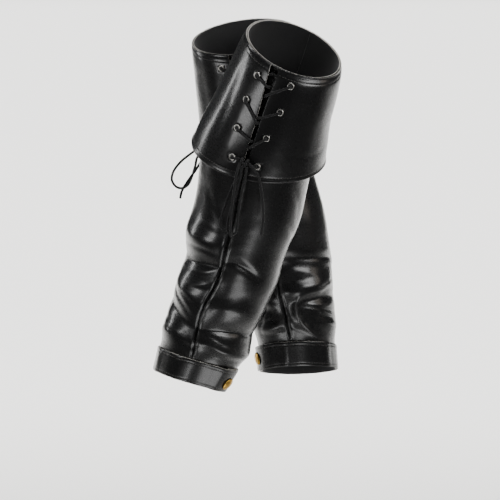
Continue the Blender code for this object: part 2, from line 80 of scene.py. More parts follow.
# Centre line and outer form of each shaft.
# Columns: drop, x, y, z, half width, half depth, roll, dip, seam.
LEFT_AXIS = (
    (0, 29, -100, 12, 64.0, 69.0, 17.5, 20, -23.5),
    (38, 18, -95, -24, 67.5, 70.0, 16.0, 16, -21.5),
    (83, 3, -90, -66, 72.0, 70.0, 14.0, 12, -18),
    (157, -19, -80, -136, 75.0, 69.0, 13.0, 8, -13.5),
    (230, -31, -70, -207, 73.0, 67.0, 13.0, 2, -15),
    (288, -48, -62, -263, 69.5, 65.0, 14.0, -2, -12),
    (337, -57, -55, -310, 65.5, 64.0, 15.0, -5, -15),
    (376, -72, -49, -346, 64.0, 63.0, 16.0, -8, -16),
    (407, -82, -45, -376, 63.0, 62.0, 16.5, -10, -17),
    (445, -92, -39, -411, 61.5, 61.0, 17.0, -12, -13),
    (466, -100, -36, -431, 57.0, 59.0, 17.0, -13, -10),
    (506, -114, -30, -467, 51.5, 57.0, 17.0, -14, -9),
)
RIGHT_AXIS = (
    (0, -37, 88, 3, 73.0, 61.0, -7.0, 15, -12),
    (63, -29, 91, -60, 74.0, 63.0, -7.0, 12, -12),
    (122, -20, 93, -118, 75.0, 64.0, -7.0, 9, -12),
    (189, -16, 96, -184, 75.0, 64.0, -7.0, 5, -12),
    (242, 0, 98, -236, 73.0, 65.0, -8.0, 1, -13),
    (274, 10, 100, -267, 71.0, 65.0, -8.0, -2, -14),
    (320, 20, 102, -312, 68.0, 64.0, -8.0, -5, -14),
    (367, 27, 104, -358, 65.5, 63.0, -7.0, -9, -14),
    (398, 32, 105, -389, 63.0, 62.0, -6.0, -13, -14),
    (437, 37, 107, -428, 61.0, 61.0, -3.5, -19, -12),
    (466, 40, 109, -457, 57.0, 59.0, -1.5, -24, -11),
    (507, 44, 111, -498, 56.0, 58.0, -1.5, -24, -10),
)

# Outer form of each cuff, on the same centre line. Columns: drop, half width, half depth, roll, dip.
LEFT_CUFF = (
    (0, 66.0, 71.0, 17.5, 20.0),
    (12, 69.5, 75.0, 17.0, 19.5),
    (40, 73.5, 76.5, 16.0, 18.0),
    (83, 78.5, 77.0, 13.5, 17.0),
    (120, 86.0, 76.0, 11.0, 16.5),
    (149, 91.0, 75.0, 7.0, 23.0),
)
RIGHT_CUFF = (
    (0, 75.0, 63.0, -7.0, 15.0),
    (12, 76.0, 68.0, -7.0, 15.0),
    (40, 77.0, 70.5, -7.0, 14.5),
    (83, 79.0, 72.0, -7.0, 14.0),
    (122, 82.0, 74.0, -6.0, 13.0),
    (154, 86.0, 76.0, -5.0, 12.0),
)

# The slit in the cuff. Columns: drop, half width.
SLIT = ((0, 6.5), (20, 5.6), (45, 3.9), (80, 2.9), (154, 2.8))

# Eyelets, from the rim down, placed by their distance round from the middle of the slit.
# Columns: drop and distance on the minus side, drop and distance on the plus side.
LEFT_EYELETS = (
    (22, -20.0, 15.5, 27.0),
    (57, -24.5, 54.5, 24.0),
    (95, -25.0, 94, 17.0),
    (130, -20.0, 132.5, 15.0),
)
RIGHT_EYELETS = (
    (17, -19.0, 17, 22.0),
    (54, -23.0, 54, 22.0),
    (92, -23.0, 92, 18.0),
    (129, -19.0, 132, 15.0),
)

# Where the lace from the first three eyelets goes down through the slit.
DIVES = ((28, 40), (78, 71), (104, 113))
BAR_DROP = 10.0        # of the hidden lace between the top two eyelets
BAR_END = 0.9          # from the middle of the slit to the end of each half lace
BAR_LIFT = -4.2

# The lace round an eyelet and over the slit's edge.
# Columns: distance from the middle of the eyelet or of the slit, lift off the leather.
COMING_UNDER = ((7.5, -4.1), (4.2, -5.0), (1.5, -4.6), (0.0, -2.0))
GOING_OVER = ((0.0, 0.6), (1.3, 3.4), (4.0, 4.0), (7.5, 2.6))
THROUGH_SLIT = ((-2.8, 2.4), (-0.8, 1.2), (0.8, -2.6), (2.8, -4.0))

# The knot and the laces that meet it: drop, distance round from the slit, and lift.
KNOT_PLACE = (130.0, -1.0)
KNOT_FROM_MINUS = (128.0, -7.6, 4.8)
KNOT_FROM_PLUS = (132.0, 4.4, 4.8)

# The hollow that the lace presses into the shaft behind the slit.
DENT_DEPTH = 5.5
DENT_SPREAD = 32.0
DENT_TOP = (2.0, 16.0)
DENT_FOOT = (140.0, 160.0)

# Large folds of the leather, as soft troughs (minus) and ridges (plus) along lines on the shaft.
# Columns: height, spread, then the angle and drop of each place that the fold runs through.
FOLD_END = 0.12
LEFT_FOLDS = (
    (5.0, 14, (-92, 276), (-60, 281), (-38, 283), (-18, 284)),
    (-5.0, 12, (-92, 318), (-44, 317), (-26, 316), (-12, 314)),
    (-2.5, 6, (-10, 304), (3, 302), (18, 309), (33, 320)),
    (4.0, 13, (-92, 346), (-66, 360), (-45, 370), (-22, 380)),
    (-5.0, 12, (-94, 388), (-66, 400), (-40, 412), (-18, 424)),
    (3.5, 11, (-92, 436), (-60, 440), (-32, 446)),
    (4.0, 14, (-8, 384), (25, 378), (80, 382)),
    (-6.5, 11, (-11, 415), (20, 412), (48, 410), (94, 410)),
    (5.0, 10, (-9, 442), (24, 446), (42, 447), (96, 443)),
    (-4.5, 10, (100, 285), (130, 296), (165, 288)),
    (3.0, 12, (104, 318), (135, 328), (166, 316)),
    (-4.0, 11, (96, 350), (125, 362), (152, 380)),
    (-5.5, 10, (112, 408), (145, 416), (172, 406)),
    (-4.0, 10, (-170, 302), (-140, 312), (-108, 316)),
    (3.0, 12, (-165, 338), (-135, 336), (-106, 346)),
    (-4.5, 10, (-166, 372), (-140, 364), (-108, 386)),
    (-5.0, 10, (-172, 416), (-140, 424), (-104, 420)),
)
RIGHT_FOLDS = (
    (-2.0, 6, (4, 321), (34, 329), (82, 339)),
    (-3.0, 12, (-10, 338), (10, 334), (32, 338), (56, 350)),
    (5.5, 13, (-10, 384), (8, 381), (24, 378), (42, 376), (58, 374)),
    (-4.5, 8, (12, 399), (26, 398), (50, 394), (86, 396)),
    (3.0, 6, (10, 387), (4, 404), (4, 422), (9, 439), (19, 454), (34, 463)),
    (-3.0, 9, (-10, 388), (-8, 412), (-3, 438)),
    (2.5, 8, (30, 436), (56, 442), (84, 440)),
    (-4.0, 10, (-80, 352), (-50, 360), (-24, 356)),
    (-4.5, 10, (-84, 410), (-50, 404), (-24, 418)),
    (3.0, 8, (-70, 440), (-40, 446), (-18, 442)),
    (-4.0, 11, (102, 300), (132, 312), (164, 305)),
    (3.0, 12, (98, 345), (130, 352), (166, 340)),
    (-5.0, 10, (96, 380), (128, 388), (170, 376)),
    (-4.5, 9, (104, 425), (140, 434), (172, 424)),
    (-4.0, 11, (-170, 290), (-140, 302), (-106, 296)),
    (3.0, 12, (-168, 338), (-135, 330), (-104, 342)),
    (-5.0, 10, (-170, 372), (-138, 384), (-102, 374)),
    (-4.5, 9, (-168, 422), (-140, 430), (-104, 420)),
)

# Smaller creases, pressed sharper than the folds, with a raised lip on both sides.
# Columns: height, spread, then the angle and drop of each place.
LEFT_CREASES = (
    (-1.6, 4.0, (-79, 297), (-36, 296), (-19, 298)),
    (-1.6, 4.0, (-92, 330), (-44, 320), (-26, 316), (-12, 315)),
    (-0.8, 4.5, (-11, 305), (3, 302), (18, 309), (33, 320)),
    (1.1, 3.5, (-56, 336), (-32, 330), (-18, 320)),
    (1.3, 4.0, (-50, 358), (-38, 354), (-26, 350), (-19, 341)),
    (-1.7, 4.5, (-94, 362), (-66, 378), (-45, 391), (-26, 406)),
    (-1.0, 3.5, (-81, 369), (-52, 374), (-34, 384), (-22, 388)),
    (1.3, 4.0, (-92, 424), (-55, 430), (-38, 436)),
    (-1.9, 3.2, (-11, 419), (17, 414), (48, 411), (90, 411)),
    (1.5, 3.0, (-9, 426), (7, 432), (24, 438), (42, 440)),
    (1.2, 2.6, (1, 438), (18, 444), (34, 447)),
    (-1.8, 3.2, (16, 453), (40, 456), (81, 456)),
    (-1.2, 6.0, (-53, 206), (-44, 228), (-25, 250), (-18, 272)),
    (0.9, 5.0, (-62, 262), (-44, 256), (-28, 262)),
    (-1.4, 3.5, (-40, 446), (-20, 452), (8, 448)),
    (-1.0, 5.0, (52, 236), (70, 250), (84, 270)),
    (-0.7, 6.0, (46, 178), (60, 200), (66, 226)),
    (-1.2, 4.5, (92, 250), (118, 262), (150, 256)),
    (-1.2, 4.0, (100, 306), (128, 308), (160, 300)),
    (-1.1, 4.0, (98, 338), (126, 344), (160, 336)),
    (-1.3, 4.0, (104, 378), (132, 388), (158, 392)),
    (-1.4, 4.0, (96, 428), (128, 436), (166, 428)),
    (-1.2, 3.5, (110, 452), (140, 457), (170, 450)),
    (-1.1, 4.5, (-168, 250), (-140, 262), (-112, 256)),
    (-1.2, 4.0, (-166, 322), (-140, 328), (-110, 320)),
    (-1.2, 4.0, (-170, 366), (-140, 372), (-108, 364)),
    (-1.3, 4.0, (-168, 392), (-138, 398), (-104, 390)),
    (-1.4, 4.0, (-164, 436), (-138, 444), (-106, 438)),
    (-1.0, 4.5, (-100, 300), (-92, 312), (-88, 330)),
    (-1.2, 4.5, (-104, 376), (-94, 386), (-86, 404)),
)
RIGHT_CREASES = (
    (2.5, 2.8, (76, 375), (54, 380), (42, 384), (22, 386), (10, 391), (4, 404), (4, 422), (9, 439),
     (19, 454), (34, 463), (56, 467)),
    (0.5, 3.5, (-12, 358), (-4, 346), (6, 344), (22, 350), (39, 360), (52, 376)),
    (0.5, 3.5, (-4, 358), (8, 364), (20, 372)),
    (-0.8, 3.2, (7, 323), (34, 330), (82, 339)),
    (-1.5, 3.0, (15, 407), (37, 413), (74, 422)),
    (-1.2, 2.8, (37, 413), (42, 424), (53, 430)),
    (-1.5, 4.0, (-22, 374), (-35, 390), (-49, 422), (-58, 454)),
    (-1.2, 3.5, (34, 422), (56, 428), (82, 436)),
    (-1.3, 3.5, (-10, 440), (2, 450), (18, 456)),
    (-1.0, 4.0, (-60, 330), (-40, 338), (-16, 334)),
    (-1.3, 4.0, (-76, 378), (-50, 386), (-22, 380)),
    (-1.1, 4.0, (-66, 396), (-44, 392), (-18, 398)),
    (-1.3, 3.5, (-80, 428), (-54, 432), (-26, 428)),
    (-1.2, 3.5, (-60, 452), (-40, 456), (-18, 452)),
    (-1.2, 4.0, (86, 352), (108, 362), (128, 358)),
    (-1.3, 4.0, (90, 404), (120, 410), (160, 402)),
    (-1.2, 3.5, (98, 446), (130, 452), (166, 446)),
    (-1.0, 5.0, (112, 268), (136, 278), (164, 272)),
    (-1.1, 4.0, (110, 326), (140, 330), (168, 324)),
    (-1.0, 5.0, (-166, 262), (-140, 272), (-110, 266)),
    (-1.1, 4.0, (-168, 316), (-138, 322), (-106, 316)),
    (-1.2, 4.0, (-166, 354), (-138, 360), (-108, 356)),
    (-1.3, 4.0, (-168, 398), (-138, 404), (-104, 398)),
    (-1.2, 3.5, (-166, 446), (-138, 452), (-106, 446)),
    (-1.0, 4.5, (-102, 320), (-92, 334), (-84, 350)),
)
# The leather that the lace crumples behind the slit, the same on both covers.
# Columns: height, spread, then the distance round from the seam and the drop of each place.
SLIT_CRUMPLES = (
    (-1.5, 2.2, (-6, 6), (0, 14), (5, 26)),
    (1.3, 1.8, (4, 4), (7, 16), (4, 30)),
    (1.4, 1.8, (-9, 18), (-4, 26), (2, 40)),
    (-1.5, 2.0, (8, 24), (3, 36), (-2, 52)),
    (1.2, 1.8, (-8, 38), (-3, 48), (2, 62)),
    (-1.3, 2.0, (6, 50), (2, 60), (-4, 72)),
    (1.0, 2.0, (-7, 64), (0, 74), (5, 84)),
    (-1.1, 2.2, (6, 84), (0, 94), (-6, 106)),
    (1.0, 2.2, (-6, 108), (0, 118), (6, 132)),
)
# Soft lengthwise bends of the cuffs. Columns: height, spread, then the angle and drop of each place.
LEFT_CUFF_BENDS = (
    (-1.0, 8, (-62, 18), (-58, 70), (-50, 140)),
    (0.9, 9, (-44, 40), (-38, 90), (-30, 150)),
    (-0.5, 5, (22, 116), (40, 119), (62, 114)),
    (0.7, 14, (34, 60), (36, 100), (34, 148)),
    (-0.9, 12, (84, 30), (88, 80), (92, 140)),
    (1.0, 14, (128, 50), (130, 95), (134, 150)),
    (0.9, 12, (-108, 40), (-112, 90), (-118, 148)),
    (-0.9, 12, (-142, 30), (-140, 80), (-146, 140)),
)
RIGHT_CUFF_BENDS = (
    (-0.9, 9, (-58, 20), (-54, 70), (-52, 140)),
    (0.7, 9, (-36, 30), (-34, 80), (-32, 146)),
    (-0.8, 12, (38, 30), (42, 80), (46, 140)),
    (0.9, 14, (86, 40), (88, 90), (92, 148)),
    (-0.9, 12, (132, 30), (134, 80), (138, 140)),
    (0.9, 12, (-108, 40), (-112, 90), (-116, 146)),
    (-0.8, 12, (-144, 40), (-142, 90), (-140, 150)),
)

# The bow's loops and tails. Columns: x, y, z from the middle of the knot.
LEFT_BOW = {
    "loop_a": ((-6.5, 1.0, -3.7), (-9, 2, -16), (-17, 3, -36), (-25, 4, -57), (-31, 5, -75),
               (-32, 5, -85), (-27, 5, -91), (-20, 5, -88), (-17, 4, -76), (-14, 3, -56),
               (-9, 2, -34), (-4, 1, -16), (-0.8, -0.1, -7.4)),
    "loop_b": ((-2.9, -5.0, -3.4), (-6, -6, -19), (-12, -5, -41), (-18, -4, -62), (-22, -3, -80),
               (-22, -3, -90), (-17, -3, -95), (-11, -3, -92), (-9, -3, -78), (-7, -4, -57),
               (-3, -5, -36), (1, -5.5, -18), (3.1, -4.4, -5.1)),
    "tail_a": ((-5.8, -3.9, 0.6), (-10, -9, -12), (-13, -10, -30), (-16, -9, -52), (-18, -8, -74),
               (-18, -7, -98)),
    "tail_b": ((5.7, -3.4, -0.4), (12, -6, -7), (19, -6, -19), (23, -5, -44), (25, -3, -71),
               (22, -2, -97)),
}
RIGHT_BOW = {
    "loop_a": ((-6.0, -3.7, -0.6), (-20, -2, -1), (-45, 12, 2), (-62, 24, -4), (-72, 26, -12),
               (-87, 26, -24), (-98, 26, -38), (-101, 26, -51), (-95, 26, -61), (-86, 26, -63),
               (-78, 26, -58), (-73, 26, -48), (-68, 26, -32), (-63, 24, -16), (-45, 12, -6),
               (-20, 0, -6.5), (-3.6, -3.2, -5.6)),
    "loop_b": ((5.1, -4.3, -0.7), (21, -6, -7), (35, -4, -26), (39, -3, -50), (36, -2, -66),
               (29, -2, -71), (23, -2, -66), (21, -2, -50), (16, -3, -30), (8, -5, -14),
               (3.5, -3.5, -5.9)),
    "tail_a": ((-2.6, -5.6, -2.2), (-16, -8, -8), (-42, 4, -13), (-57, 13, -21), (-67, 14, -35),
               (-77, 14, -49), (-86, 14, -64), (-89, 14, -76)),
    "tail_b": ((1.4, -6.3, -2.1), (1, -9, -20), (2, -7, -45), (3, -6, -70), (2, -5, -95)),
}

# Where the strap is dented by the folds under it. Columns: degrees from the snap, height, spread.
LEFT_DENTS = (
    (-126, 1.2, 7),
    (-112, -1.0, 7),
    (-84, 0.7, 9),
    (40, -0.7, 10),
    (120, 0.9, 12),
    (175, -0.8, 12),
)
RIGHT_DENTS = (
    (30, 0.8, 7),
    (44, -1.0, 6),
    (58, 1.1, 7),
    (120, 1.2, 7),
    (136, -1.1, 7),
    (-60, -0.8, 10),
    (-110, 0.9, 12),
)

LEFT = {"name": "left", "axis": LEFT_AXIS, "cuff": LEFT_CUFF, "eyelets": LEFT_EYELETS,
        "folds": LEFT_FOLDS, "creases": LEFT_CREASES, "bends": LEFT_CUFF_BENDS, "bow": LEFT_BOW,
        "dents": LEFT_DENTS, "minus_side": "inner", "plus_side": "outer",
        "snap_angle": 61.0, "snap_rise": 14.5, "lap_turn": 1}
RIGHT = {"name": "right", "axis": RIGHT_AXIS, "cuff": RIGHT_CUFF, "eyelets": RIGHT_EYELETS,
         "folds": RIGHT_FOLDS, "creases": RIGHT_CREASES, "bends": RIGHT_CUFF_BENDS, "bow": RIGHT_BOW,
         "dents": RIGHT_DENTS, "minus_side": "outer", "plus_side": "inner",
         "snap_angle": -75.0, "snap_rise": 18.0, "lap_turn": -1}


# The form of the leather

def read_table(rows, drop):
    """The values of a table at any drop, on a smooth curve through its rows."""
    drops = [row[0] for row in rows]
    first = min(max(bisect.bisect_right(drops, drop) - 1, 0), len(rows) - 2)
    start, end = rows[first], rows[first + 1]
    before, after = rows[max(first - 1, 0)], rows[min(first + 2, len(rows) - 1)]
    span = end[0] - start[0]
    u = (drop - start[0]) / span
    values = []
    for column in range(1, len(start)):
        slope_start = (end[column] - before[column]) / (end[0] - before[0]) * span
        slope_end = (after[column] - start[column]) / (after[0] - start[0]) * span
        values.append((2 * u**3 - 3 * u**2 + 1) * start[column] + (u**3 - 2 * u**2 + u) * slope_start
                      + (3 * u**2 - 2 * u**3) * end[column] + (u**3 - u**2) * slope_end)
    return values


def cloth_length(cover, cloth):
    """How far down from the rim the cuff or the shaft reaches."""
    return cover["cuff" if cloth == "cuff" else "axis"][-1][0]


def sections(cover, cloth, drops):
    """Centre, side arm, front arm and seam of the ellipse at each drop."""
    rows = []
    for drop in drops:
        x, y, z, width, depth, roll, dip, seam = read_table(cover["axis"], drop)
        if cloth == "cuff":
            width, depth, roll, dip = read_table(cover["cuff"], drop)
        roll, dip = math.radians(roll), math.radians(dip)
        rows.append((x, y, z, math.cos(roll) * width, 0.0, -math.sin(roll) * width,
                     0.0, -math.cos(dip) * depth, -math.sin(dip) * depth, seam))
    table = np.array(rows)
    return table[:, 0:3], table[:, 3:6], table[:, 6:9], table[:, 9]


def between(value, start, end):
    """How far a value has come from start to end, kept from 0 to 1."""
    return np.clip((value - start) / (end - start), 0.0, 1.0)


def hump(away, spread):
    """A smooth hump, 1 high, by the distance from its middle."""
    return np.exp(-(away / spread) ** 2)


def angle_from(angles, place):
    """Degrees round the cover from a place, between -180 and 180."""
    return (angles - place + 180.0) % 360.0 - 180.0


def reach_of_fold(x, y, places):
    """Distance of each point to a line of places, and the share of the line at its foot."""
    reach = along = None
    for step, ((x0, y0), (x1, y1)) in enumerate(zip(places, places[1:])):
        run_x, run_y = x1 - x0, y1 - y0
        foot = np.clip(((x - x0) * run_x + (y - y0) * run_y) / (run_x**2 + run_y**2), 0.0, 1.0)
        far = np.hypot(x - x0 - run_x * foot, y - y0 - run_y * foot)
        share = (step + foot) / (len(places) - 1)
        if reach is None:
            reach, along = far, share
        else:
            along = np.where(far < reach, share, along)
            reach = np.minimum(far, reach)
    return reach, along


# A crease throws up a lip on both sides: the crease's own height, then the lip's height and reach.
CREASE_LIP = (1.35, 0.45, 2.1)


def folds(x, y, rows, per_degree, sharp=False):
    """The lift of a table of folds; x is a distance round the cover and y a drop, in millimetres."""
    lift = np.zeros_like(x)
    for height, spread, *places in rows:
        reach, along = reach_of_fold(x, y, [(a * per_degree, d) for a, d in places])
        fade = np.sin(math.pi * (FOLD_END + (1.0 - 2 * FOLD_END) * along))
        wave = hump(reach, spread)
        if sharp:
            wave = CREASE_LIP[0] * wave - CREASE_LIP[1] * hump(reach, CREASE_LIP[2] * spread)
        lift += height * wave * fade
    return lift


def unevenness(points, size, shortness, seed):
    """A smooth random value at each point, for bumps of a size in millimetres, shorter down than round."""
    shape = points.shape[:-1]
    spots = (points * (1.0, 1.0, shortness)).reshape(-1, 3) / size + seed
    return np.array([noise.noise(Vector(spot)) for spot in spots]).reshape(shape)


CREASE_SHARE = 0.75            # of the tables' heights, as the leather is soft but not thin

# Unevenness of worn leather. Columns: size of the bumps, how many times shorter they are down, seed.
SHAFT_BROAD = (46.0, 1.7, 5.3)
SHAFT_SMALL = (17.0, 2.2, 1.7)
CUFF_BROAD = (34.0, 1.0, 3.1)
CUFF_SMALL = (12.0, 1.0, 8.6)
BROAD_HEIGHT = (0.4, 0.2)      # of the shaft's broad bumps: everywhere, and added below the cuff
SMALL_HEIGHT = (0.08, 0.16)    # of its small bumps: below the cuff, and added at the ankle
CUFF_HEIGHT = (0.35, 0.14)     # of the cuff's broad and small bumps

# Where these come in or fade out. Columns: drop where the change starts, drop where it is complete.
BELOW_CUFF = (150.0, 230.0)
ANKLE_TOP = (280.0, 400.0)
ANKLE_FOOT = (455.0, 470.0)
UNDER_STRAP = (455.0, 468.0)
SEAM_TOP = (150.0, 165.0)

SEAM_GROOVE = (2.4, 1.9)       # depth and spread of the groove where the panels roll in at a seam
SEAM_RIDGES = (0.6, 1.6)       # how high the leather stands beside it, on the minus and the plus side
SEAM_RIDGE_PLACE = (3.3, 1.9)  # distance of these ridges from the seam, and their spread
SEAM_PUCKER = (0.8, 0.2, 2.6)  # the thread gathers them: mean share, swing and run of a pucker
CUFF_SEAM_GROOVE = (0.7, 1.4)  # depth and spread
CUFF_SEAM_RIDGE = (3.4, 0.4, 1.8)  # distance, height and spread
RIM_GROOVE = (2.4, 0.35, 0.8)  # drop, depth and spread of the hollow under the rim
RIM_RIDGE = (5.0, 0.12, 1.0)   # drop, height and spread of the folded edge below it
RIM_STITCH = 8.0               # drop of the stitching under the rim
HEM_STITCH = 5.5               # from the hem of a cuff to its stitching
STITCH_HOLLOW = (0.25, 0.8)    # depth and spread of the hollow along a row of stitches
HEM_ROLL = (1.3, 0.7, 0.9)     # distance from the hem, height and spread of the folded hem


def lace_dent(around, y):
    """The hollow that the lace presses into the shaft behind the slit."""
    ends = between(y, *DENT_TOP) * (1.0 - between(y, *DENT_FOOT))
    return -DENT_DEPTH * ends * hump(around, DENT_SPREAD)


def seam_relief(away, y, ridge):
    """The groove of a sewn seam, and the puckered ridge on each side of it."""
    pucker = SEAM_PUCKER[0] + SEAM_PUCKER[1] * np.sin(y / SEAM_PUCKER[2])
    return (ridge * pucker * hump(np.abs(away) - SEAM_RIDGE_PLACE[0], SEAM_RIDGE_PLACE[1])
            - SEAM_GROOVE[0] * hump(away, SEAM_GROOVE[1]))


def shaft_relief(cover, x, y, around, back, per_degree, base):
    """The lift of the shaft: dent, folds, creases, unevenness and both seams."""
    lift = lace_dent(around, y) + folds(x, y, cover["folds"], per_degree)
    lift += CREASE_SHARE * folds(x, y, cover["creases"], per_degree, sharp=True)
    lift += folds(around, y, SLIT_CRUMPLES, np.ones_like(per_degree), sharp=True)
    below = between(y, *BELOW_CUFF)
    ankle = between(y, *ANKLE_TOP) * (1.0 - between(y, *ANKLE_FOOT))
    bare = 1.0 - between(y, *UNDER_STRAP)
    lift += (BROAD_HEIGHT[0] + BROAD_HEIGHT[1] * below) * unevenness(base, *SHAFT_BROAD) * bare
    lift += (SMALL_HEIGHT[0] * below + SMALL_HEIGHT[1] * ankle) * unevenness(base, *SHAFT_SMALL) * bare
    sewn = between(y, *SEAM_TOP) * bare
    lift += sewn * seam_relief(around, y, np.where(around > 0, SEAM_RIDGES[1], SEAM_RIDGES[0]))
    lift += sewn * seam_relief(back, y, SEAM_RIDGES[0])
    return lift


def cuff_relief(cover, x, y, back, per_degree, base):
    """The lift of the cuff: bends, unevenness, folded rim and hem, stitched lines and back seam."""
    hem = cloth_length(cover, "cuff")
    lift = folds(x, y, cover["bends"], per_degree)
    lift += CUFF_HEIGHT[0] * unevenness(base, *CUFF_BROAD)
    lift += CUFF_HEIGHT[1] * unevenness(base, *CUFF_SMALL)
    lift -= RIM_GROOVE[1] * hump(y - RIM_GROOVE[0], RIM_GROOVE[2])
    lift += RIM_RIDGE[1] * hump(y - RIM_RIDGE[0], RIM_RIDGE[2])
    for stitched in (RIM_STITCH, hem - HEM_STITCH):
        lift -= STITCH_HOLLOW[0] * hump(y - stitched, STITCH_HOLLOW[1])
    lift += HEM_ROLL[1] * hump(y - hem + HEM_ROLL[0], HEM_ROLL[2])
    lift -= CUFF_SEAM_GROOVE[0] * hump(back, CUFF_SEAM_GROOVE[1])
    lift += CUFF_SEAM_RIDGE[1] * hump(back - CUFF_SEAM_RIDGE[0], CUFF_SEAM_RIDGE[2])
    return lift


def leather_points(cover, cloth, drops, angles, plain=False):
    """Points of the outer face, in millimetres, for drops (rows) and angles (rows by columns).

    Plain points have the dent and the large folds alone; laces and fittings are set by them."""
    drops = np.asarray(drops, float)
    angles = np.asarray(angles, float)
    centre, side, front, seam = sections(cover, cloth, drops)
    turn = np.radians(angles)[..., None]
    side, front, centre, seam = side[:, None, :], front[:, None, :], centre[:, None, :], seam[:, None]
    width = np.linalg.norm(side, axis=-1)
    depth = np.linalg.norm(front, axis=-1)
    outward = side / width[..., None]**2 * np.sin(turn) + front / depth[..., None]**2 * np.cos(turn)
    outward /= np.linalg.norm(outward, axis=-1, keepdims=True)
    base = centre + side * np.sin(turn) + front * np.cos(turn)
    per_degree = np.radians(1.0) * ((width + depth) / 2 + np.zeros_like(angles))
    x = angle_from(angles, 0.0) * per_degree
    y = drops[:, None] + np.zeros_like(x)
    around = angle_from(angles, seam) * per_degree
    back = np.abs(angle_from(angles, seam + 180.0)) * per_degree
    if plain:
        lift = np.zeros_like(x)
        if cloth == "shaft":
            lift = lace_dent(around, y) + folds(x, y, cover["folds"], per_degree)
    elif cloth == "shaft":
        lift = shaft_relief(cover, x, y, around, back, per_degree, base)
    else:
        lift = cuff_relief(cover, x, y, back, per_degree, base)
    return base + outward * lift[..., None]


def cloth_point(cover, cloth, drop, angle):
    """One plain point of the outer face."""
    return Vector(leather_points(cover, cloth, [drop], [[angle]], plain=True)[0, 0])


def arm_length(cover, cloth, drop, angle):
    """Millimetres round the section for each radian at an angle."""
    centre, side, front, seam = sections(cover, cloth, [drop])
    turn = math.radians(angle)
    return math.hypot(np.linalg.norm(side[0]) * math.cos(turn),
                      np.linalg.norm(front[0]) * math.sin(turn))


def half_round(cover, cloth, drops):
    """Millimetres round half of the tube at each drop."""
    centre, side, front, seam = sections(cover, cloth, drops)
    return math.pi * (np.linalg.norm(side, axis=1) + np.linalg.norm(front, axis=1)) / 2


def angle_at(cover, cloth, drop, offset):
    """The angle of a point that lies offset millimetres round from the seam."""
    seam = sections(cover, cloth, [drop])[3][0]
    return seam + math.degrees(offset / arm_length(cover, cloth, drop, seam))


NEAR = 0.5              # degrees or millimetres to a neighbouring point, which shows how the leather faces


def cloth_frame(cover, cloth, drop, angle):
    """A point of the cloth, and the directions across, down and out from it there."""
    point = cloth_point(cover, cloth, drop, angle)
    across = (cloth_point(cover, cloth, drop, angle + NEAR) - point).normalized()
    down = (cloth_point(cover, cloth, drop + NEAR, angle) - point).normalized()
    return point, across, down, down.cross(across).normalized()


def facing_out(here, beside, below):
    """The outward directions at rows of points, from their neighbours round and down."""
    out = np.cross(below - here, beside - here)
    return out / np.linalg.norm(out, axis=-1, keepdims=True)


def on_cuff(cover, drop, offset, lift):
    """A point offset round from the slit and lifted off the cuff, in millimetres."""
    point, across, down, out = cloth_frame(cover, "cuff", drop, angle_at(cover, "cuff", drop, offset))
    return point + out * lift


# Materials

def linear(code):
    """An sRGB hex colour as linear red, green, blue and alpha."""
    values = [int(code[i:i + 2], 16) / 255 for i in (1, 3, 5)]
    return (*[v / 12.92 if v <= 0.04045 else ((v + 0.055) / 1.055) ** 2.4 for v in values], 1.0)


def add(tree, kind, inputs=None, **settings):
    """Add a node, set its own settings, and fill its inputs with values or links."""
    made = tree.nodes.new(kind)
    for key, value in settings.items():
        setattr(made, key, value)
    for socket, value in (inputs or {}).items():
        if isinstance(value, bpy.types.NodeSocket):
            tree.links.new(value, made.inputs[socket])
        else:
            made.inputs[socket].default_value = value
    return made


def new_material(name, **shader_values):
    """A material with its own Principled shader; returns it, its tree and the shader."""
    material = bpy.data.materials.new(name)
    material.use_nodes = True
    tree = material.node_tree
    shader = tree.nodes["Principled BSDF"]
    for key, value in shader_values.items():
        shader.inputs[key.replace("_", " ")].default_value = value
    return material, tree, shader


def per_metre(millimetres):
    """The scale of a pattern whose repeat has this real size."""
    return 1.0 / (millimetres * MM)


# A wave pattern repeats after this length divided by its scale, straight and diagonal.
WAVE_RUN = math.tau / 20
DIAGONAL_WAVE_RUN = math.tau / (10 * math.sqrt(3))


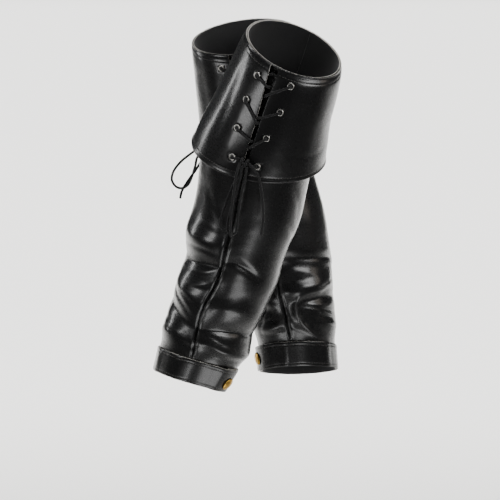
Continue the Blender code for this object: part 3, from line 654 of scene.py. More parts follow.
def coated_leather():
    """Polyurethane-coated imitation leather, embossed and glossy: a smooth black film over a fine grain.

    The film gives a sharp, slightly broken highlight; ridges are rubbed a little paler and duller.
    The real grain is finer than half a millimetre and wouldn't show, so it is drawn coarser."""
    material, tree, shader = new_material("polyurethane_coated_leather", IOR=1.5, Roughness=0.3,
                                          Coat_Weight=0.3, Coat_Roughness=0.17)
    uv = add(tree, "ShaderNodeUVMap", uv_map="skin").outputs["UV"]
    cells = add(tree, "ShaderNodeTexVoronoi", {"Vector": uv, "Scale": per_metre(1.3), "Smoothness": 0.6},
                feature="SMOOTH_F1")
    pores = add(tree, "ShaderNodeTexNoise", {"Vector": uv, "Scale": per_metre(2.6), "Detail": 4.0,
                                             "Roughness": 0.62})
    crinkle = add(tree, "ShaderNodeTexNoise", {"Vector": uv, "Scale": per_metre(9.0), "Detail": 3.0,
                                               "Roughness": 0.55, "Distortion": 0.4})
    cloudy = add(tree, "ShaderNodeTexNoise", {"Vector": uv, "Scale": per_metre(55.0), "Detail": 4.0})
    rubbed = add(tree, "ShaderNodeAttribute", attribute_name="rubbed")
    # The colour sockets of a Mix node share their names with its number sockets, so they go by index.
    film = add(tree, "ShaderNodeMix", {"Factor": cloudy.outputs["Fac"], 6: linear("#0a0a0b"),
                                       7: linear("#121212")}, data_type="RGBA")
    worn = add(tree, "ShaderNodeMix", {"Factor": rubbed.outputs["Fac"], 6: film.outputs[2],
                                       7: linear("#242322")}, data_type="RGBA")
    tree.links.new(worn.outputs[2], shader.inputs["Base Color"])
    gloss = add(tree, "ShaderNodeMapRange", {"Value": pores.outputs["Fac"], "From Min": 0.3,
                                             "From Max": 0.7, "To Min": 0.24, "To Max": 0.34})
    dull = add(tree, "ShaderNodeMath", {0: rubbed.outputs["Fac"], 1: 0.12, 2: gloss.outputs["Result"]},
               operation="MULTIPLY_ADD")
    tree.links.new(dull.outputs["Value"], shader.inputs["Roughness"])
    grain = add(tree, "ShaderNodeBump", {"Height": cells.outputs["Distance"], "Strength": 0.06,
                                         "Distance": 0.08 * MM}, invert=True)
    fine = add(tree, "ShaderNodeBump", {"Height": pores.outputs["Fac"], "Strength": 0.08,
                                        "Distance": 0.12 * MM, "Normal": grain.outputs["Normal"]})
    soft = add(tree, "ShaderNodeBump", {"Height": crinkle.outputs["Fac"], "Strength": 0.2,
                                        "Distance": 0.4 * MM, "Normal": fine.outputs["Normal"]})
    tree.links.new(soft.outputs["Normal"], shader.inputs["Normal"])
    return material


def backing_cloth():
    """Brushed knit that backs the film inside the tubes: matt, dark and slightly fuzzy.

    Its ribs are drawn coarser than real ones, which wouldn't show."""
    material, tree, shader = new_material("brushed_polyester_backing", Roughness=0.92, Sheen_Weight=0.25)
    uv = add(tree, "ShaderNodeUVMap", uv_map="skin").outputs["UV"]
    ribs = add(tree, "ShaderNodeTexWave", {"Vector": uv, "Scale": per_metre(2.37) * WAVE_RUN,
                                           "Distortion": 1.5, "Detail": 2.0})
    fuzz = add(tree, "ShaderNodeTexNoise", {"Vector": uv, "Scale": per_metre(1.6), "Detail": 5.0})
    shade = add(tree, "ShaderNodeValToRGB", {"Fac": fuzz.outputs["Fac"]})
    shade.color_ramp.elements[0].color = linear("#161617")
    shade.color_ramp.elements[1].color = linear("#2a2a2b")
    tree.links.new(shade.outputs["Color"], shader.inputs["Base Color"])
    bump = add(tree, "ShaderNodeBump", {"Height": ribs.outputs["Fac"], "Strength": 0.3,
                                        "Distance": 0.2 * MM})
    tree.links.new(bump.outputs["Normal"], shader.inputs["Normal"])
    return material


def cut_edge():
    """The cut edge of the coated cloth, where its pale grey core shows between film and backing."""
    material, tree, shader = new_material("cut_leather_edge", Roughness=0.55)
    place = add(tree, "ShaderNodeTexCoord").outputs["Object"]
    fibres = add(tree, "ShaderNodeTexNoise", {"Vector": place, "Scale": per_metre(1.5), "Detail": 4.0})
    shade = add(tree, "ShaderNodeValToRGB", {"Fac": fibres.outputs["Fac"]})
    shade.color_ramp.elements[0].position = 0.35
    shade.color_ramp.elements[0].color = linear("#a09d97")
    shade.color_ramp.elements[1].position = 0.65
    shade.color_ramp.elements[1].color = linear("#dddad4")
    tree.links.new(shade.outputs["Color"], shader.inputs["Base Color"])
    bump = add(tree, "ShaderNodeBump", {"Height": fibres.outputs["Fac"], "Strength": 0.4,
                                        "Distance": 0.2 * MM})
    tree.links.new(bump.outputs["Normal"], shader.inputs["Normal"])
    return material


def sewing_thread():
    """Bonded nylon sewing thread, dark grey with the small gloss of twisted filament.

    The twist is drawn coarser than the real one, which wouldn't show."""
    material, tree, shader = new_material("bonded_nylon_thread", Roughness=0.42, Sheen_Weight=0.3,
                                          Base_Color=linear("#55534f"))
    place = add(tree, "ShaderNodeTexCoord").outputs["Object"]
    twist = add(tree, "ShaderNodeTexWave", {"Vector": place, "Scale": per_metre(1.14) * DIAGONAL_WAVE_RUN,
                                            "Distortion": 2.0}, bands_direction="DIAGONAL")
    bump = add(tree, "ShaderNodeBump", {"Height": twist.outputs["Fac"], "Strength": 0.4,
                                        "Distance": 0.08 * MM})
    tree.links.new(bump.outputs["Normal"], shader.inputs["Normal"])
    return material


def braided_lace():
    """Round lace braided from textured polyester yarn: soft, matt black, with a faint sheen. The hollows
    between its strands are coloured darker, as painted shade.
    """
    material, tree, shader = new_material("braided_polyester_lace", Roughness=0.85, Sheen_Weight=0.15,
                                          Sheen_Roughness=0.4)
    uv = add(tree, "ShaderNodeUVMap", uv_map="skin").outputs["UV"]
    yarn = add(tree, "ShaderNodeTexNoise", {"Vector": uv, "Scale": per_metre(0.9), "Detail": 3.0})
    # Painted shade: the braid's hollows are coloured darker than its strands.
    hollow = add(tree, "ShaderNodeAttribute", attribute_name="hollow")
    shade = add(tree, "ShaderNodeValToRGB", {"Fac": hollow.outputs["Fac"]})
    shade.color_ramp.elements[0].color = linear("#161617")
    shade.color_ramp.elements[1].color = linear("#070708")
    tree.links.new(shade.outputs["Color"], shader.inputs["Base Color"])
    bump = add(tree, "ShaderNodeBump", {"Height": yarn.outputs["Fac"], "Strength": 0.5,
                                        "Distance": 0.15 * MM})
    tree.links.new(bump.outputs["Normal"], shader.inputs["Normal"])
    return material


def plated_metal(name, bright, dark, roughness):
    """Pressed sheet metal with a bright plate, faintly scratched and dulled by handling."""
    material, tree, shader = new_material(name, Metallic=1.0, Roughness=roughness)
    place = add(tree, "ShaderNodeTexCoord").outputs["Object"]
    marks = add(tree, "ShaderNodeTexNoise", {"Vector": place, "Scale": per_metre(1.8), "Detail": 6.0,
                                             "Roughness": 0.7})
    shade = add(tree, "ShaderNodeValToRGB", {"Fac": marks.outputs["Fac"]})
    shade.color_ramp.elements[0].position = 0.32
    shade.color_ramp.elements[0].color = linear(dark)
    shade.color_ramp.elements[1].position = 0.6
    shade.color_ramp.elements[1].color = linear(bright)
    tree.links.new(shade.outputs["Color"], shader.inputs["Base Color"])
    gloss = add(tree, "ShaderNodeMapRange", {"Value": marks.outputs["Fac"], "To Min": roughness + 0.12,
                                             "To Max": roughness - 0.06})
    tree.links.new(gloss.outputs["Result"], shader.inputs["Roughness"])
    bump = add(tree, "ShaderNodeBump", {"Height": marks.outputs["Fac"], "Strength": 0.12,
                                        "Distance": 0.08 * MM})
    tree.links.new(bump.outputs["Normal"], shader.inputs["Normal"])
    return material


LEATHER = coated_leather()
BACKING = backing_cloth()
EDGE = cut_edge()
THREAD = sewing_thread()
BRAID = braided_lace()
NICKEL = plated_metal("nickel_plated_steel", "#d9d7d2", "#8e8b86", 0.32)
BRASS = plated_metal("polished_brass_plate", "#e0b45c", "#8f6a2c", 0.3)


# Making pieces

def mesh_of(work, name):
    """The mesh of a bmesh, which is then freed."""
    mesh = bpy.data.meshes.new(name)
    work.to_mesh(mesh)
    work.free()
    return mesh


def finish_piece(name, work, materials, node=None):
    """Put a finished bmesh in the scene as a piece that rides on the covers."""
    mesh = mesh_of(work, name)
    piece = bpy.data.objects.new(name, mesh)
    bpy.context.scene.collection.objects.link(piece)
    for material in materials:
        mesh.materials.append(material)
    mesh.shade_smooth()
    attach(piece, "root")
    if node:
        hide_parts(node)
    return piece


def leather_wall(name, points, across, along, rubbed, thick, holes, node):
    """A panel of leather: a grid of points in millimetres, made a wall with a backing and cut edges."""
    rows, columns = points.shape[:2]
    work = bmesh.new()
    skin = work.loops.layers.uv.new("skin")
    wear = work.verts.layers.float.new("rubbed")
    bmesh.ops.create_grid(work, x_segments=columns - 1, y_segments=rows - 1, size=0.5)
    place = {}
    for vertex in work.verts:
        column = round((vertex.co.x + 0.5) * (columns - 1))
        row = rows - 1 - round((vertex.co.y + 0.5) * (rows - 1))
        place[vertex] = (row, column)
    for vertex, (row, column) in place.items():
        vertex.co = Vector(points[row, column]) * MM
        vertex[wear] = rubbed[row, column]
    for face in work.faces:
        for loop in face.loops:
            row, column = place[loop.vert]
            loop[skin].uv = (across[row, column] * MM, along[row, column] * MM)
    for matrix in holes:
        punch_hole(work, matrix)
    piece = finish_piece(name, work, (LEATHER, BACKING, EDGE), node)
    wall = piece.modifiers.new("wall", "SOLIDIFY")
    wall.thickness = thick * MM
    wall.offset = -1.0
    wall.material_offset = 1
    wall.material_offset_rim = 2
    return piece


PUNCH_DEPTH = 6.0       # how far off the leather's face the punch still cuts
PUNCH_EDGE = 2.2        # times the hole's radius, within which the cut edge is made round


def punch_hole(work, matrix):
    """Take out the leather inside an eyelet's hole and round the edge that is left."""
    inverse = matrix.inverted()
    inside, near = [], []
    for vertex in work.verts:
        local = inverse @ vertex.co
        if abs(local.z) > PUNCH_DEPTH * MM:
            continue
        reach = math.hypot(local.x, local.y)
        if reach < PUNCH * MM:
            inside.append(vertex)
        elif reach < PUNCH_EDGE * PUNCH * MM:
            near.append(vertex)
    bmesh.ops.delete(work, geom=inside, context="VERTS")
    for vertex in near:
        if vertex.is_valid and vertex.is_boundary:
            local = inverse @ vertex.co
            reach = math.hypot(local.x, local.y)
            local.x *= PUNCH * MM / reach
            local.y *= PUNCH * MM / reach
            vertex.co = matrix @ local


def steps(length, fine, coarse, zones):
    """Places along a length, closer together inside the zones (start, end)."""
    places = [0.0]
    while places[-1] < length:
        here = places[-1]
        close = any(start - coarse <= here <= end for start, end in zones)
        places.append(here + (fine if close else coarse))
    places[-1] = length
    if len(places) > 2 and length - places[-2] < fine / 2:
        places.pop(-2)
    return np.array(places)


def panel_angles(cover, cloth, drops, shares, sign):
    """Angles of a half tube, rows by columns, for shares of the way from its front to its back edge."""
    table = []
    for drop in drops:
        seam = sections(cover, cloth, [drop])[3][0]
        front_gap = read_table(SLIT, drop)[0] if cloth == "cuff" else SEAM_GAP / 2
        front = math.degrees(front_gap / arm_length(cover, cloth, drop, seam))
        back = 180.0 - math.degrees(SEAM_GAP / 2 / arm_length(cover, cloth, drop, seam + 180.0))
        turns = front + (back - front) * shares
        table.append(seam + sign * turns)
    angles = np.array(table)
    return angles if sign > 0 else angles[:, ::-1]


# Spacing of a panel's points, which lie closer where a seam, a stitched line or a hem needs it.
# Columns: down, across, then the length of the fine stretch at the top, the foot and each side edge.
PANEL_GRID = {"shaft": (2.6, 3.0, 2.0, 2.0, 7.0), "cuff": (2.2, 2.4, 12.0, 8.0, 6.0)}
FINE_ROW = 0.7
FINE_COLUMN = 0.8
WEAR_PER_MM = 0.35      # how much the leather is rubbed for each millimetre that it stands up
MOST_WEAR = 0.5
SEAM_ALLOWANCE = 8.0    # at each seam of a panel, turned inside


def side_of(cover, sign):
    """The name of the side that lies at minus or plus angles from the slit."""
    return cover["plus_side"] if sign > 0 else cover["minus_side"]


def half_tube(cover, cloth, sign):
    """One leather panel of the shaft or the cuff."""
    length = cloth_length(cover, cloth)
    down, column, top, foot, edge = PANEL_GRID[cloth]
    drops = steps(length, FINE_ROW, down, ((0, top), (length - foot, length)))
    around = half_round(cover, cloth, [length / 2])[0]
    shares = steps(around, FINE_COLUMN, column, ((0, edge), (around - edge, around))) / around
    angles = panel_angles(cover, cloth, drops, shares, sign)
    points = leather_points(cover, cloth, drops, angles)
    smooth = leather_points(cover, cloth, drops, angles, plain=True)
    centres, sides, fronts, seams = sections(cover, cloth, drops)
    centres = centres[:, None, :]
    risen = np.linalg.norm(points - centres, axis=-1) - np.linalg.norm(smooth - centres, axis=-1)
    rubbed = np.clip(risen * WEAR_PER_MM, 0.0, MOST_WEAR)
    across = np.radians(angles - seams[:, None]) * around / math.pi
    along = drops[:, None] + np.zeros_like(across)
    node = f"{cover['name']}_{cloth}_{side_of(cover, sign)}"
    holes = []
    if cloth == "cuff":
        holes = [eyelet_matrix(cover, drop, offset) for drop, offset in eyelet_places(cover, sign)]
    piece = leather_wall(f"{node}_leather", points, across, along, rubbed, CLOTH, holes, node)
    declare_cut(cover, cloth, drops)


def declare_cut(cover, cloth, drops):
    """Work out the flat size of a half tube, with its seam allowances; the size is not used further."""
    halves = half_round(cover, cloth, drops) + 2 * SEAM_ALLOWANCE


# Eyelets and snaps

def eyelet_places(cover, sign):
    """Drop and offset of the four eyelets of one side, from the rim down."""
    if sign < 0:
        return [(row[0], row[1]) for row in cover["eyelets"]]
    return [(row[2], row[3]) for row in cover["eyelets"]]


def placed(cover, cloth, drop, angle, lift=0.0):
    """The matrix that sets a turned piece on the cloth, its axis out of the leather."""
    point, across, down, out = cloth_frame(cover, cloth, drop, angle)
    turn = Matrix((across, out.cross(across), out)).transposed().to_4x4()
    return Matrix.Translation((point + out * lift) * MM) @ turn


def eyelet_matrix(cover, drop, offset):
    """Where an eyelet and its hole sit."""
    return placed(cover, "cuff", drop, angle_at(cover, "cuff", drop, offset))


# Profiles, turned about their own axis. Columns: radius, height over the leather.
EYELET_PROFILE = ((BORE, 0.5), (2.85, 1.0), (3.2, 1.3), (3.7, 1.4), (4.2, 1.2), (4.65, 0.75),
                  (WASHER, 0.4), (4.5, 0.22), (BARREL, 0.25), (BARREL, -2.15), (3.6, -2.25),
                  (FLARE, -2.45), (3.7, -2.7), (3.0, -2.7), (BORE, -2.4))
# The cap's dome, with its ringed groove. Columns: radius, distance below the top.
SNAP_DOME = ((0.0, 0.0), (2.4, 0.1), (4.4, 0.35), (5.7, 0.75), (6.1, 1.15), (6.6, 1.1), (7.6, 1.35),
             (8.7, 2.0), (9.3, 2.6), (SNAP_RADIUS, 3.0))
SNAP_PROFILE = (*[(radius, SNAP_HEIGHT - below) for radius, below in SNAP_DOME],
                (SNAP_RADIUS - 0.05, 0.75), (SNAP_RADIUS - 0.4, 0.35), (0.0, 0.3))


def turned(name, profile, closed, segments, matrix, material, node):
    """A profile of radius and height pairs, spun about its own axis."""
    work = bmesh.new()
    ring = [work.verts.new((radius * MM, 0.0, height * MM)) for radius, height in profile]
    edges = [work.edges.new(pair) for pair in zip(ring, ring[1:])]
    if closed:
        edges.append(work.edges.new((ring[-1], ring[0])))
    bmesh.ops.spin(work, geom=ring + edges, cent=(0, 0, 0), axis=(0, 0, 1), angle=math.tau,
                   steps=segments, use_merge=True)
    bmesh.ops.remove_doubles(work, verts=work.verts, dist=0.02 * MM)
    bmesh.ops.recalc_face_normals(work, faces=work.faces)
    work.transform(matrix)
    finish_piece(name, work, (material,), node)


# Laces

def smooth_route(route, count):
    """Points on a smooth curve through a route."""
    before = 2 * route[0] - route[1]
    after = 2 * route[-1] - route[-2]
    ends = [before, *route, after]
    points = []
    for i in range(1, len(ends) - 2):
        p0, p1, p2, p3 = ends[i - 1:i + 3]
        for step in range(count):
            u = step / count
            points.append(0.5 * (2 * p1 + (p2 - p0) * u + (2 * p0 - 5 * p1 + 4 * p2 - p3) * u**2
                                 + (3 * p1 - p0 - 3 * p2 + p3) * u**3))
    points.append(route[-1])
    return points


def even_points(points, spacing):
    """Points at equal distances along a line."""
    lengths = [0.0]
    for start, end in zip(points, points[1:]):
        lengths.append(lengths[-1] + (end - start).length)
    count = max(8, round(lengths[-1] / spacing))
    even = []
    for k in range(count + 1):
        goal = lengths[-1] * k / count
        i = min(max(bisect.bisect_right(lengths, goal) - 1, 0), len(points) - 2)
        share = (goal - lengths[i]) / max(lengths[i + 1] - lengths[i], 1e-9)
        even.append(points[i].lerp(points[i + 1], share))
    return even, lengths[-1]


LACE_AROUND = 18        # points round the lace
LACE_STEP = 0.75        # and along it
BRAID_STRANDS = 6
BRAID_PITCH = 2.6       # length of one crossing of the braid
BRAID_DEPTH = 0.16
BRAID_SWELL = 0.04      # by which its strands stand over the lace's mean radius
TIP_LENGTH = 1.2        # rounded end of a lace
LACE_DETAIL = 6         # points between two places of a half lace's route
BOW_DETAIL = 8          # and of a loop's or tail's


def braid_height(turn, run):
    """How high the braid stands at a place round it and along it, from 0 in a hollow to 1 on a strand."""
    shift = math.pi * (round(turn / (math.tau / BRAID_STRANDS)) % 2)
    return 0.5 + 0.25 * (math.cos(BRAID_STRANDS * turn) + math.cos(math.tau * run / BRAID_PITCH + shift))


def tip_share(run):
    """The share of its radius that a lace has at a distance from its rounded end."""
    return math.sqrt(max(0.0, 1 - max(0.0, 1 - run / TIP_LENGTH) ** 2))


def lace_skin(work, points, bare_end=False):
    """A braided tube along points in millimetres, added to a bmesh; returns its line and length."""
    line, length = even_points(points, LACE_STEP)
    count = len(line)
    tube = bmesh.new()
    uv = tube.loops.layers.uv.new("skin")
    # The hollow layer marks where the braid's colour is painted darker, as painted shade between its
    # strands.
    low = tube.verts.layers.float.new("hollow")
    bmesh.ops.create_grid(tube, x_segments=LACE_AROUND, y_segments=count - 1, size=0.5)
    frames = []
    side = Vector((0.31, 0.87, 0.39))
    for k in range(count):
        ahead = (line[min(k + 1, count - 1)] - line[max(k - 1, 0)]).normalized()
        side = (side - ahead * side.dot(ahead)).normalized()
        frames.append((line[k], side.copy(), ahead.cross(side)))
    place = {}
    for vertex in tube.verts:
        column = round((vertex.co.x + 0.5) * LACE_AROUND)
        row = round((vertex.co.y + 0.5) * (count - 1))
        place[vertex] = (row, column)
    for vertex, (row, column) in place.items():
        turn = math.tau * column / LACE_AROUND
        run = length * row / (count - 1)
        height = braid_height(turn, run)
        radius = LACE / 2 + BRAID_SWELL - BRAID_DEPTH * (1 - height)
        if bare_end:
            radius *= tip_share(length - run)
        point, across, up = frames[row]
        vertex.co = (point + (across * math.cos(turn) + up * math.sin(turn)) * radius) * MM
        vertex[low] = 1 - height
    for face in tube.faces:
        for loop in face.loops:
            row, column = place[loop.vert]
            loop[uv].uv = (LACE * math.pi * column / LACE_AROUND * MM, length * row / (count - 1) * MM)
    bmesh.ops.remove_doubles(tube, verts=tube.verts, dist=0.01 * MM)
    bmesh.ops.holes_fill(tube, edges=[e for e in tube.edges if e.is_boundary], sides=LACE_AROUND)
    bmesh.ops.recalc_face_normals(tube, faces=tube.faces)
    mesh = mesh_of(tube, "tube")
    work.from_mesh(mesh)
    bpy.data.meshes.remove(mesh)
    return line, length


def new_lace_mesh():
    """An empty bmesh with the layers that a braided tube fills."""
    work = bmesh.new()
    work.loops.layers.uv.new("skin")
    work.verts.layers.float.new("hollow")
    return work


def lace_piece(points, bare_end, node):
    """One length of braided lace as a piece of its own, with its line and its length."""
    work = new_lace_mesh()
    line, length = lace_skin(work, points, bare_end)
    return finish_piece(f"{node}_braid", work, (BRAID,), node), line, length


def towards(start, end):
    """The unit step from one drop and offset to another."""
    return Vector((end[0] - start[0], end[1] - start[1])).normalized()


def lace_round(cover, place, run, profile):
    """Points of the lace along a run from a place, by a table of distances and lifts."""
    return [on_cuff(cover, place[0] + run[0] * distance, place[1] + run[1] * distance, lift)
            for distance, lift in profile]


def lace_route(cover, sign, knot_place):
    """The route of one half of the lace: under the rim, then down from side to side to the knot."""
    here, there = eyelet_places(cover, sign), eyelet_places(cover, -sign)
    route = [on_cuff(cover, BAR_DROP, sign * BAR_END, BAR_LIFT)]
    come = (BAR_DROP, 0.0)
    for row in range(len(here)):
        eyelet, side = (here[row], sign) if row % 2 == 0 else (there[row], -sign)
        route += lace_round(cover, eyelet, towards(eyelet, come), COMING_UNDER)
        if row == len(DIVES):
            break
        come = (DIVES[row][0 if side < 0 else 1], 0.0)
        ahead = towards(eyelet, come)
        route += lace_round(cover, eyelet, ahead, GOING_OVER)
        route += lace_round(cover, come, ahead, THROUGH_SLIT)
    route += lace_round(cover, eyelet, towards(eyelet, knot_place), GOING_OVER[:-1])
    route.append(on_cuff(cover, *knot_place))
    return route


def knot_frame(cover):
    """The middle of the knot, and the directions across, down and out from the cuff there."""
    drop, offset = KNOT_PLACE
    point, across, down, out = cloth_frame(cover, "cuff", drop, angle_at(cover, "cuff", drop, offset))
    return point + out * KNOT_LIFT, across, down, out


# The turns of lace that show in the knot. Columns: tilt from upright, lean towards the cuff,
# half length, half depth, shift across.
KNOT_TURNS = (
    (18.0, 0.0, 5.3, 3.1, -2.5),
    (-14.0, 6.0, 5.3, 3.1, 2.3),
    (82.0, 4.0, 4.8, 3.5, 0.0),
)
KNOT_DETAIL = 24        # points of each turn


def knot_piece(cover):
    """The knot, as turns of lace drawn tight round each other."""
    centre, across, down, out = knot_frame(cover)
    work = new_lace_mesh()
    for tilt, lean, half_length, half_depth, shift in KNOT_TURNS:
        tilt, lean = math.radians(tilt), math.radians(lean)
        run = down * math.cos(tilt) + across * math.sin(tilt)
        rise = out * math.cos(lean) + run.cross(out) * math.sin(lean)
        points = []
        for k in range(KNOT_DETAIL + 1):
            phase = math.tau * k / KNOT_DETAIL
            points.append(centre + across * shift + run * (half_length * math.cos(phase))
                          + rise * (half_depth * math.sin(phase)))
        lace_skin(work, points)
    name = cover["name"]
    return finish_piece(f"{name}_knot_turns", work, (BRAID,), f"{name}_bow_knot")


def add_laces(cover):
    """Both halves of the lace through the eyelets, and the bow: knot, loops and tails."""
    for sign, meets in ((-1, KNOT_FROM_PLUS), (1, KNOT_FROM_MINUS)):
        points = smooth_route(lace_route(cover, sign, meets), LACE_DETAIL)
        lace_piece(points, False, f"{cover['name']}_lace_from_{side_of(cover, sign)}")
    knot = knot_piece(cover)
    centre = knot_frame(cover)[0]
    for part, rows in cover["bow"].items():
        points = smooth_route([centre + Vector(row) for row in rows], BOW_DETAIL)
        tail = part.startswith("tail")
        piece, line, length = lace_piece(points, tail, f"{cover['name']}_bow_{part}")


# Straps and stitching

STRAP_STITCH = 5.0             # from each edge of the strap to its stitching
STRAP_EDGE_ROLL = (0.5, 1.4)   # depth and spread of its rounded edges
STRAP_EDGE_WEAR = (0.35, 1.2)  # how much its edges are rubbed, and the spread of that
STRAP_MEASURE = 490.0          # drop of the shaft's round where the strap's length is measured
STRAP_ROWS = (0.55, 2.2, 6.2)  # fine and coarse spacing of its points, and the fine stretch at each edge
STRAP_COLUMNS = 190
DENT_SHARE = (0.6, 0.4)        # how strong a dent is at the edges, and how much more in the middle
DEEPEST_DENT = -0.5


def strap_course(cover, shares, rises):
    """Angle, drop and lift of the strap's outer face, rows by columns."""
    whole = 360.0 + STRAP_LAP
    climb = between(shares * whole, *STRAP_RISE)
    climb = climb * climb * (3 - 2 * climb)
    angles = cover["snap_angle"] + cover["lap_turn"] * (shares * whole - STRAP_LAP / 2)
    lifts = STRAP_LIFT + STRAP_THICK + climb * (STRAP_THICK + STRAP_LAP_GAP)
    drops = cloth_length(cover, "shaft") + STRAP_OVERHANG - STRAP_HEIGHT * rises
    return angles, drops, lifts


def strap_dents(cover, angles):
    """How far the strap stands out where the leather under it bunches."""
    lift = np.zeros_like(angles)
    for turn, height, spread in cover["dents"]:
        lift += height * hump(angle_from(angles, cover["snap_angle"] + turn), spread)
    return lift


def along_edges(heights, inset, spread):
    """A hump along both edges of the strap, by each point's height on it."""
    return hump(heights - inset, spread) + hump(STRAP_HEIGHT - heights - inset, spread)


def strap_points(cover, shares, rises, more_lift=0.0):
    """Points of the strap's outer face, lifted straight off the shaft, in millimetres."""
    angles, drops, lifts = strap_course(cover, shares, rises[:, None])
    drops = drops + np.zeros_like(angles)
    angles = angles + np.zeros_like(drops)
    heights = rises * STRAP_HEIGHT
    hollows = (STRAP_EDGE_ROLL[0] * along_edges(heights, 0.0, STRAP_EDGE_ROLL[1])
               + STITCH_HOLLOW[0] * along_edges(heights, STRAP_STITCH, STITCH_HOLLOW[1]))
    points = np.zeros((*drops.shape, 3))
    for row, rise in enumerate(rises):
        drop, turns = drops[row, :1], angles[row:row + 1]
        here = leather_points(cover, "shaft", drop, turns, plain=True)[0]
        beside = leather_points(cover, "shaft", drop, turns + NEAR, plain=True)[0]
        below = leather_points(cover, "shaft", drop + NEAR, turns, plain=True)[0]
        dents = strap_dents(cover, turns[0]) * (DENT_SHARE[0] + DENT_SHARE[1] * math.sin(rise * math.pi))
        lift = lifts + np.maximum(dents, DEEPEST_DENT) - hollows[row] + more_lift
        points[row] = here + facing_out(here, beside, below) * lift[:, None]
    return points


def add_strap(cover):
    """The ankle strap with its lapped end, and the snap that holds it."""
    name = cover["name"]
    length = 2 * half_round(cover, "shaft", [STRAP_MEASURE])[0] * (360 + STRAP_LAP) / 360
    fine, coarse, edge = STRAP_ROWS
    heights = steps(STRAP_HEIGHT, fine, coarse, ((0, edge), (STRAP_HEIGHT - edge, STRAP_HEIGHT)))
    shares = np.linspace(0, 1, STRAP_COLUMNS)[::cover["lap_turn"]]
    points = strap_points(cover, shares, 1.0 - heights / STRAP_HEIGHT)
    across = shares[None, :] * length + np.zeros((len(heights), 1))
    along = heights[:, None] + np.zeros_like(across)
    worn = STRAP_EDGE_WEAR[0] * along_edges(heights, 0.0, STRAP_EDGE_WEAR[1])
    rubbed = worn[:, None] + np.zeros_like(across)
    strap = leather_wall(f"{name}_strap_leather", points, across, along, rubbed, STRAP_THICK, (),
                         f"{name}_strap")
    matrix = placed(cover, "shaft", cloth_length(cover, "shaft") - cover["snap_rise"],
                    cover["snap_angle"], STRAP_LIFT + 2 * STRAP_THICK + STRAP_LAP_GAP)
    turned(f"{name}_snap_cap", SNAP_PROFILE, False, SNAP_SEGMENTS, matrix, BRASS, f"{name}_snap")


STITCH_LENGTH = 3.0
STITCH_PITCH = 4.0
STITCH_THICK = 0.62     # drawn a little thicker than real thread, so that it shows
STITCH_LIFT = 0.12      # from the leather to the middle of the thread
STITCH_NEAR = 0.3       # as NEAR, beside the stitches of a cuff
STRAP_STITCHED = np.linspace(0.012, 0.988, 500)  # shares of the strap's length that its stitching follows
CUFF_LINE = 400         # points along a stitched line of a cuff
CUFF_STITCH_START = 2.0  # from the slit's edge
CUFF_STITCH_END = 178.8  # degrees from the slit, just short of the back seam


def lay_stitches(name, lines):
    """Rows of stitches, each a short rounded length of thread along a line of points."""
    work = bmesh.new()
    pattern = bmesh.new()
    bmesh.ops.create_icosphere(pattern, subdivisions=1, radius=0.5)
    shape = mesh_of(pattern, "stitch")
    pattern.free()
    for points, outs in lines:
        lengths = np.concatenate([[0.0], np.cumsum(np.linalg.norm(np.diff(points, axis=0), axis=1))])
        for k in range(int((lengths[-1] - STITCH_LENGTH) / STITCH_PITCH)):
            middle = k * STITCH_PITCH + STITCH_LENGTH / 2
            i = min(int(np.searchsorted(lengths, middle)), len(points) - 2)
            ahead = Vector(points[i + 1] - points[max(i - 1, 0)]).normalized()
            out = Vector(outs[i]).normalized()
            side = out.cross(ahead).normalized()
            turn = Matrix((ahead * STITCH_LENGTH, side * STITCH_THICK, ahead.cross(side) * STITCH_THICK))
            matrix = Matrix.Translation(Vector(points[i]) * MM) @ (turn.transposed() * MM).to_4x4()
            first = len(work.verts)
            work.from_mesh(shape)
            work.verts.ensure_lookup_table()
            bmesh.ops.transform(work, matrix=matrix, verts=work.verts[first:])
    bpy.data.meshes.remove(shape)
    finish_piece(name, work, (THREAD,))


def strap_stitch_lines(cover):
    """Points and outward directions of the strap's two stitched lines."""
    lines = []
    for rise in (STRAP_STITCH / STRAP_HEIGHT, 1 - STRAP_STITCH / STRAP_HEIGHT):
        row = strap_points(cover, STRAP_STITCHED, np.array([rise]), STITCH_LIFT)[0]
        above = strap_points(cover, STRAP_STITCHED, np.array([rise]), STITCH_LIFT + 1.0)[0]
        lines.append((row, above - row))
    return lines


def cuff_stitch_line(cover, drop, first, last):
    """Points and outward directions of a stitched line round part of the cuff, by angle."""
    angles = np.linspace(first, last, CUFF_LINE)[None, :]
    here = leather_points(cover, "cuff", [drop], angles)[0]
    beside = leather_points(cover, "cuff", [drop], angles + STITCH_NEAR)[0]
    below = leather_points(cover, "cuff", [drop + STITCH_NEAR], angles)[0]
    out = facing_out(here, beside, below)
    return here + out * STITCH_LIFT, out


def cuff_stitch_lines(cover):
    """The stitched lines under the rim and above the hem of both halves of a cuff."""
    lines = []
    for drop in (RIM_STITCH, cloth_length(cover, "cuff") - HEM_STITCH):
        seam = sections(cover, "cuff", [drop])[3][0]
        start = read_table(SLIT, drop)[0] + CUFF_STITCH_START
        gap = math.degrees(start / arm_length(cover, "cuff", drop, seam))
        lines.append(cuff_stitch_line(cover, drop, seam + gap, seam + CUFF_STITCH_END))
        lines.append(cuff_stitch_line(cover, drop, seam - CUFF_STITCH_END, seam - gap))
    return lines


def make_cover(cover):
    """One whole boot cover."""
    name = cover["name"]
    add_laces(cover)
    for sign in (-1, 1):
        half_tube(cover, "shaft", sign)
        half_tube(cover, "cuff", sign)
        for row, (drop, offset) in enumerate(eyelet_places(cover, sign)):
            node = f"{name}_eyelet_{side_of(cover, sign)}_{row + 1}"
            turned(f"{node}_ring", EYELET_PROFILE, True, EYELET_SEGMENTS,
                   eyelet_matrix(cover, drop, offset), NICKEL, node)
    add_strap(cover)
    lay_stitches(f"{name}_stitching", cuff_stitch_lines(cover) + strap_stitch_lines(cover))


# Studio

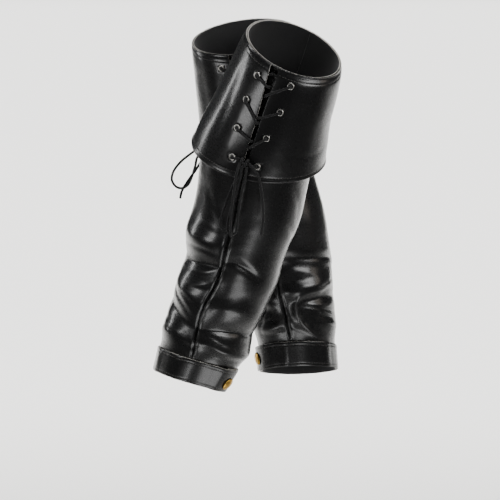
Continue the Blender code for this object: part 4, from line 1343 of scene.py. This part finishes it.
CAMERA_SENSOR = 36.0
CAMERA_SIGHT = 40.0            # how far the camera sees, past the far edge of the floor
FLOOR_REACH = 16.0             # from its middle to each edge
WORLD_STRENGTH = 0.1
MIDDLE = (-0.02, 0.0, -0.2)    # of the covers
WHITE = "#ffffff"

# Lamps. Columns: name, place, point they face, width and height, power, spread in degrees, colour.
# The backdrop's own light falls straight down behind the covers, so the floor before them stays dim.
LAMPS = (
    ("backdrop_softbox", (0.0, 6.4, 2.0), (0.0, 6.4, FLOOR_HEIGHT), (6.4, 11.0), 700, 50, WHITE),
    ("left_strip", (-2.0, 0.65, 0.3), MIDDLE, (0.25, 1.5), 1.3, 60, WHITE),
    ("left_softbox", (-1.6, -1.35, -0.05), MIDDLE, (0.6, 0.6), 0.9, 60, WHITE),
    ("top_softbox", (0.1, -0.4, 1.9), MIDDLE, (1.0, 0.6), 1.6, 40, WHITE),
    ("right_low_softbox", (1.5, -1.5, 0.28), MIDDLE, (1.6, 0.7), 3.6, 60, WHITE),
    ("right_softbox", (1.9, -0.5, 0.3), MIDDLE, (0.5, 1.3), 0.4, 60, "#fff0e2"),
    ("left_floor_strip", (-0.46, -0.70, -1.1), (-0.46, -0.70, 0.0), (0.12, 0.85), 2.0, 180, WHITE),
    ("right_floor_strip", (0.20, -0.70, -1.1), (0.20, -0.70, 0.0), (0.34, 0.85), 3.2, 180, WHITE),
)


def area_light(name, place, target, size, power, spread, colour):
    """A soft rectangular light that faces a point."""
    lamp = bpy.data.lights.new(name, "AREA")
    lamp.shape = "RECTANGLE"
    lamp.size, lamp.size_y = size
    lamp.energy = power
    lamp.spread = math.radians(spread)
    lamp.color = linear(colour)[:3]
    light = bpy.data.objects.new(name, lamp)
    bpy.context.scene.collection.objects.link(light)
    light.location = place
    light.rotation_euler = (Vector(target) - Vector(place)).to_track_quat("-Z", "Y").to_euler()


def make_studio():
    """Camera, pale floor, soft light from both sides and above."""
    camera = bpy.data.objects.new("camera", bpy.data.cameras.new("camera"))
    bpy.context.scene.collection.objects.link(camera)
    camera.location = CAMERA_PLACE
    camera.rotation_euler = (math.radians(CAMERA_TILT), 0.0, 0.0)
    camera.data.lens = CAMERA_LENS
    camera.data.sensor_width = CAMERA_SENSOR
    camera.data.clip_end = CAMERA_SIGHT
    bpy.context.scene.camera = camera

    work = bmesh.new()
    bmesh.ops.create_grid(work, x_segments=1, y_segments=1, size=FLOOR_REACH)
    bmesh.ops.translate(work, vec=(0, 0, FLOOR_HEIGHT), verts=work.verts)
    mesh = mesh_of(work, "floor")
    mesh.materials.append(new_material("pale_backdrop_paper", Roughness=0.8,
                                       Base_Color=linear("#eeedea"))[0])
    floor = bpy.data.objects.new("floor", mesh)
    bpy.context.scene.collection.objects.link(floor)

    world = bpy.data.worlds.new("studio")
    bpy.context.scene.world = world
    world.use_nodes = True
    sky = world.node_tree.nodes["Background"]
    sky.inputs["Color"].default_value = linear("#dfe1e4")
    sky.inputs["Strength"].default_value = WORLD_STRENGTH

    for lamp in LAMPS:
        area_light(*lamp)


make_studio()
for cover in (LEFT, RIGHT):
    make_cover(cover)
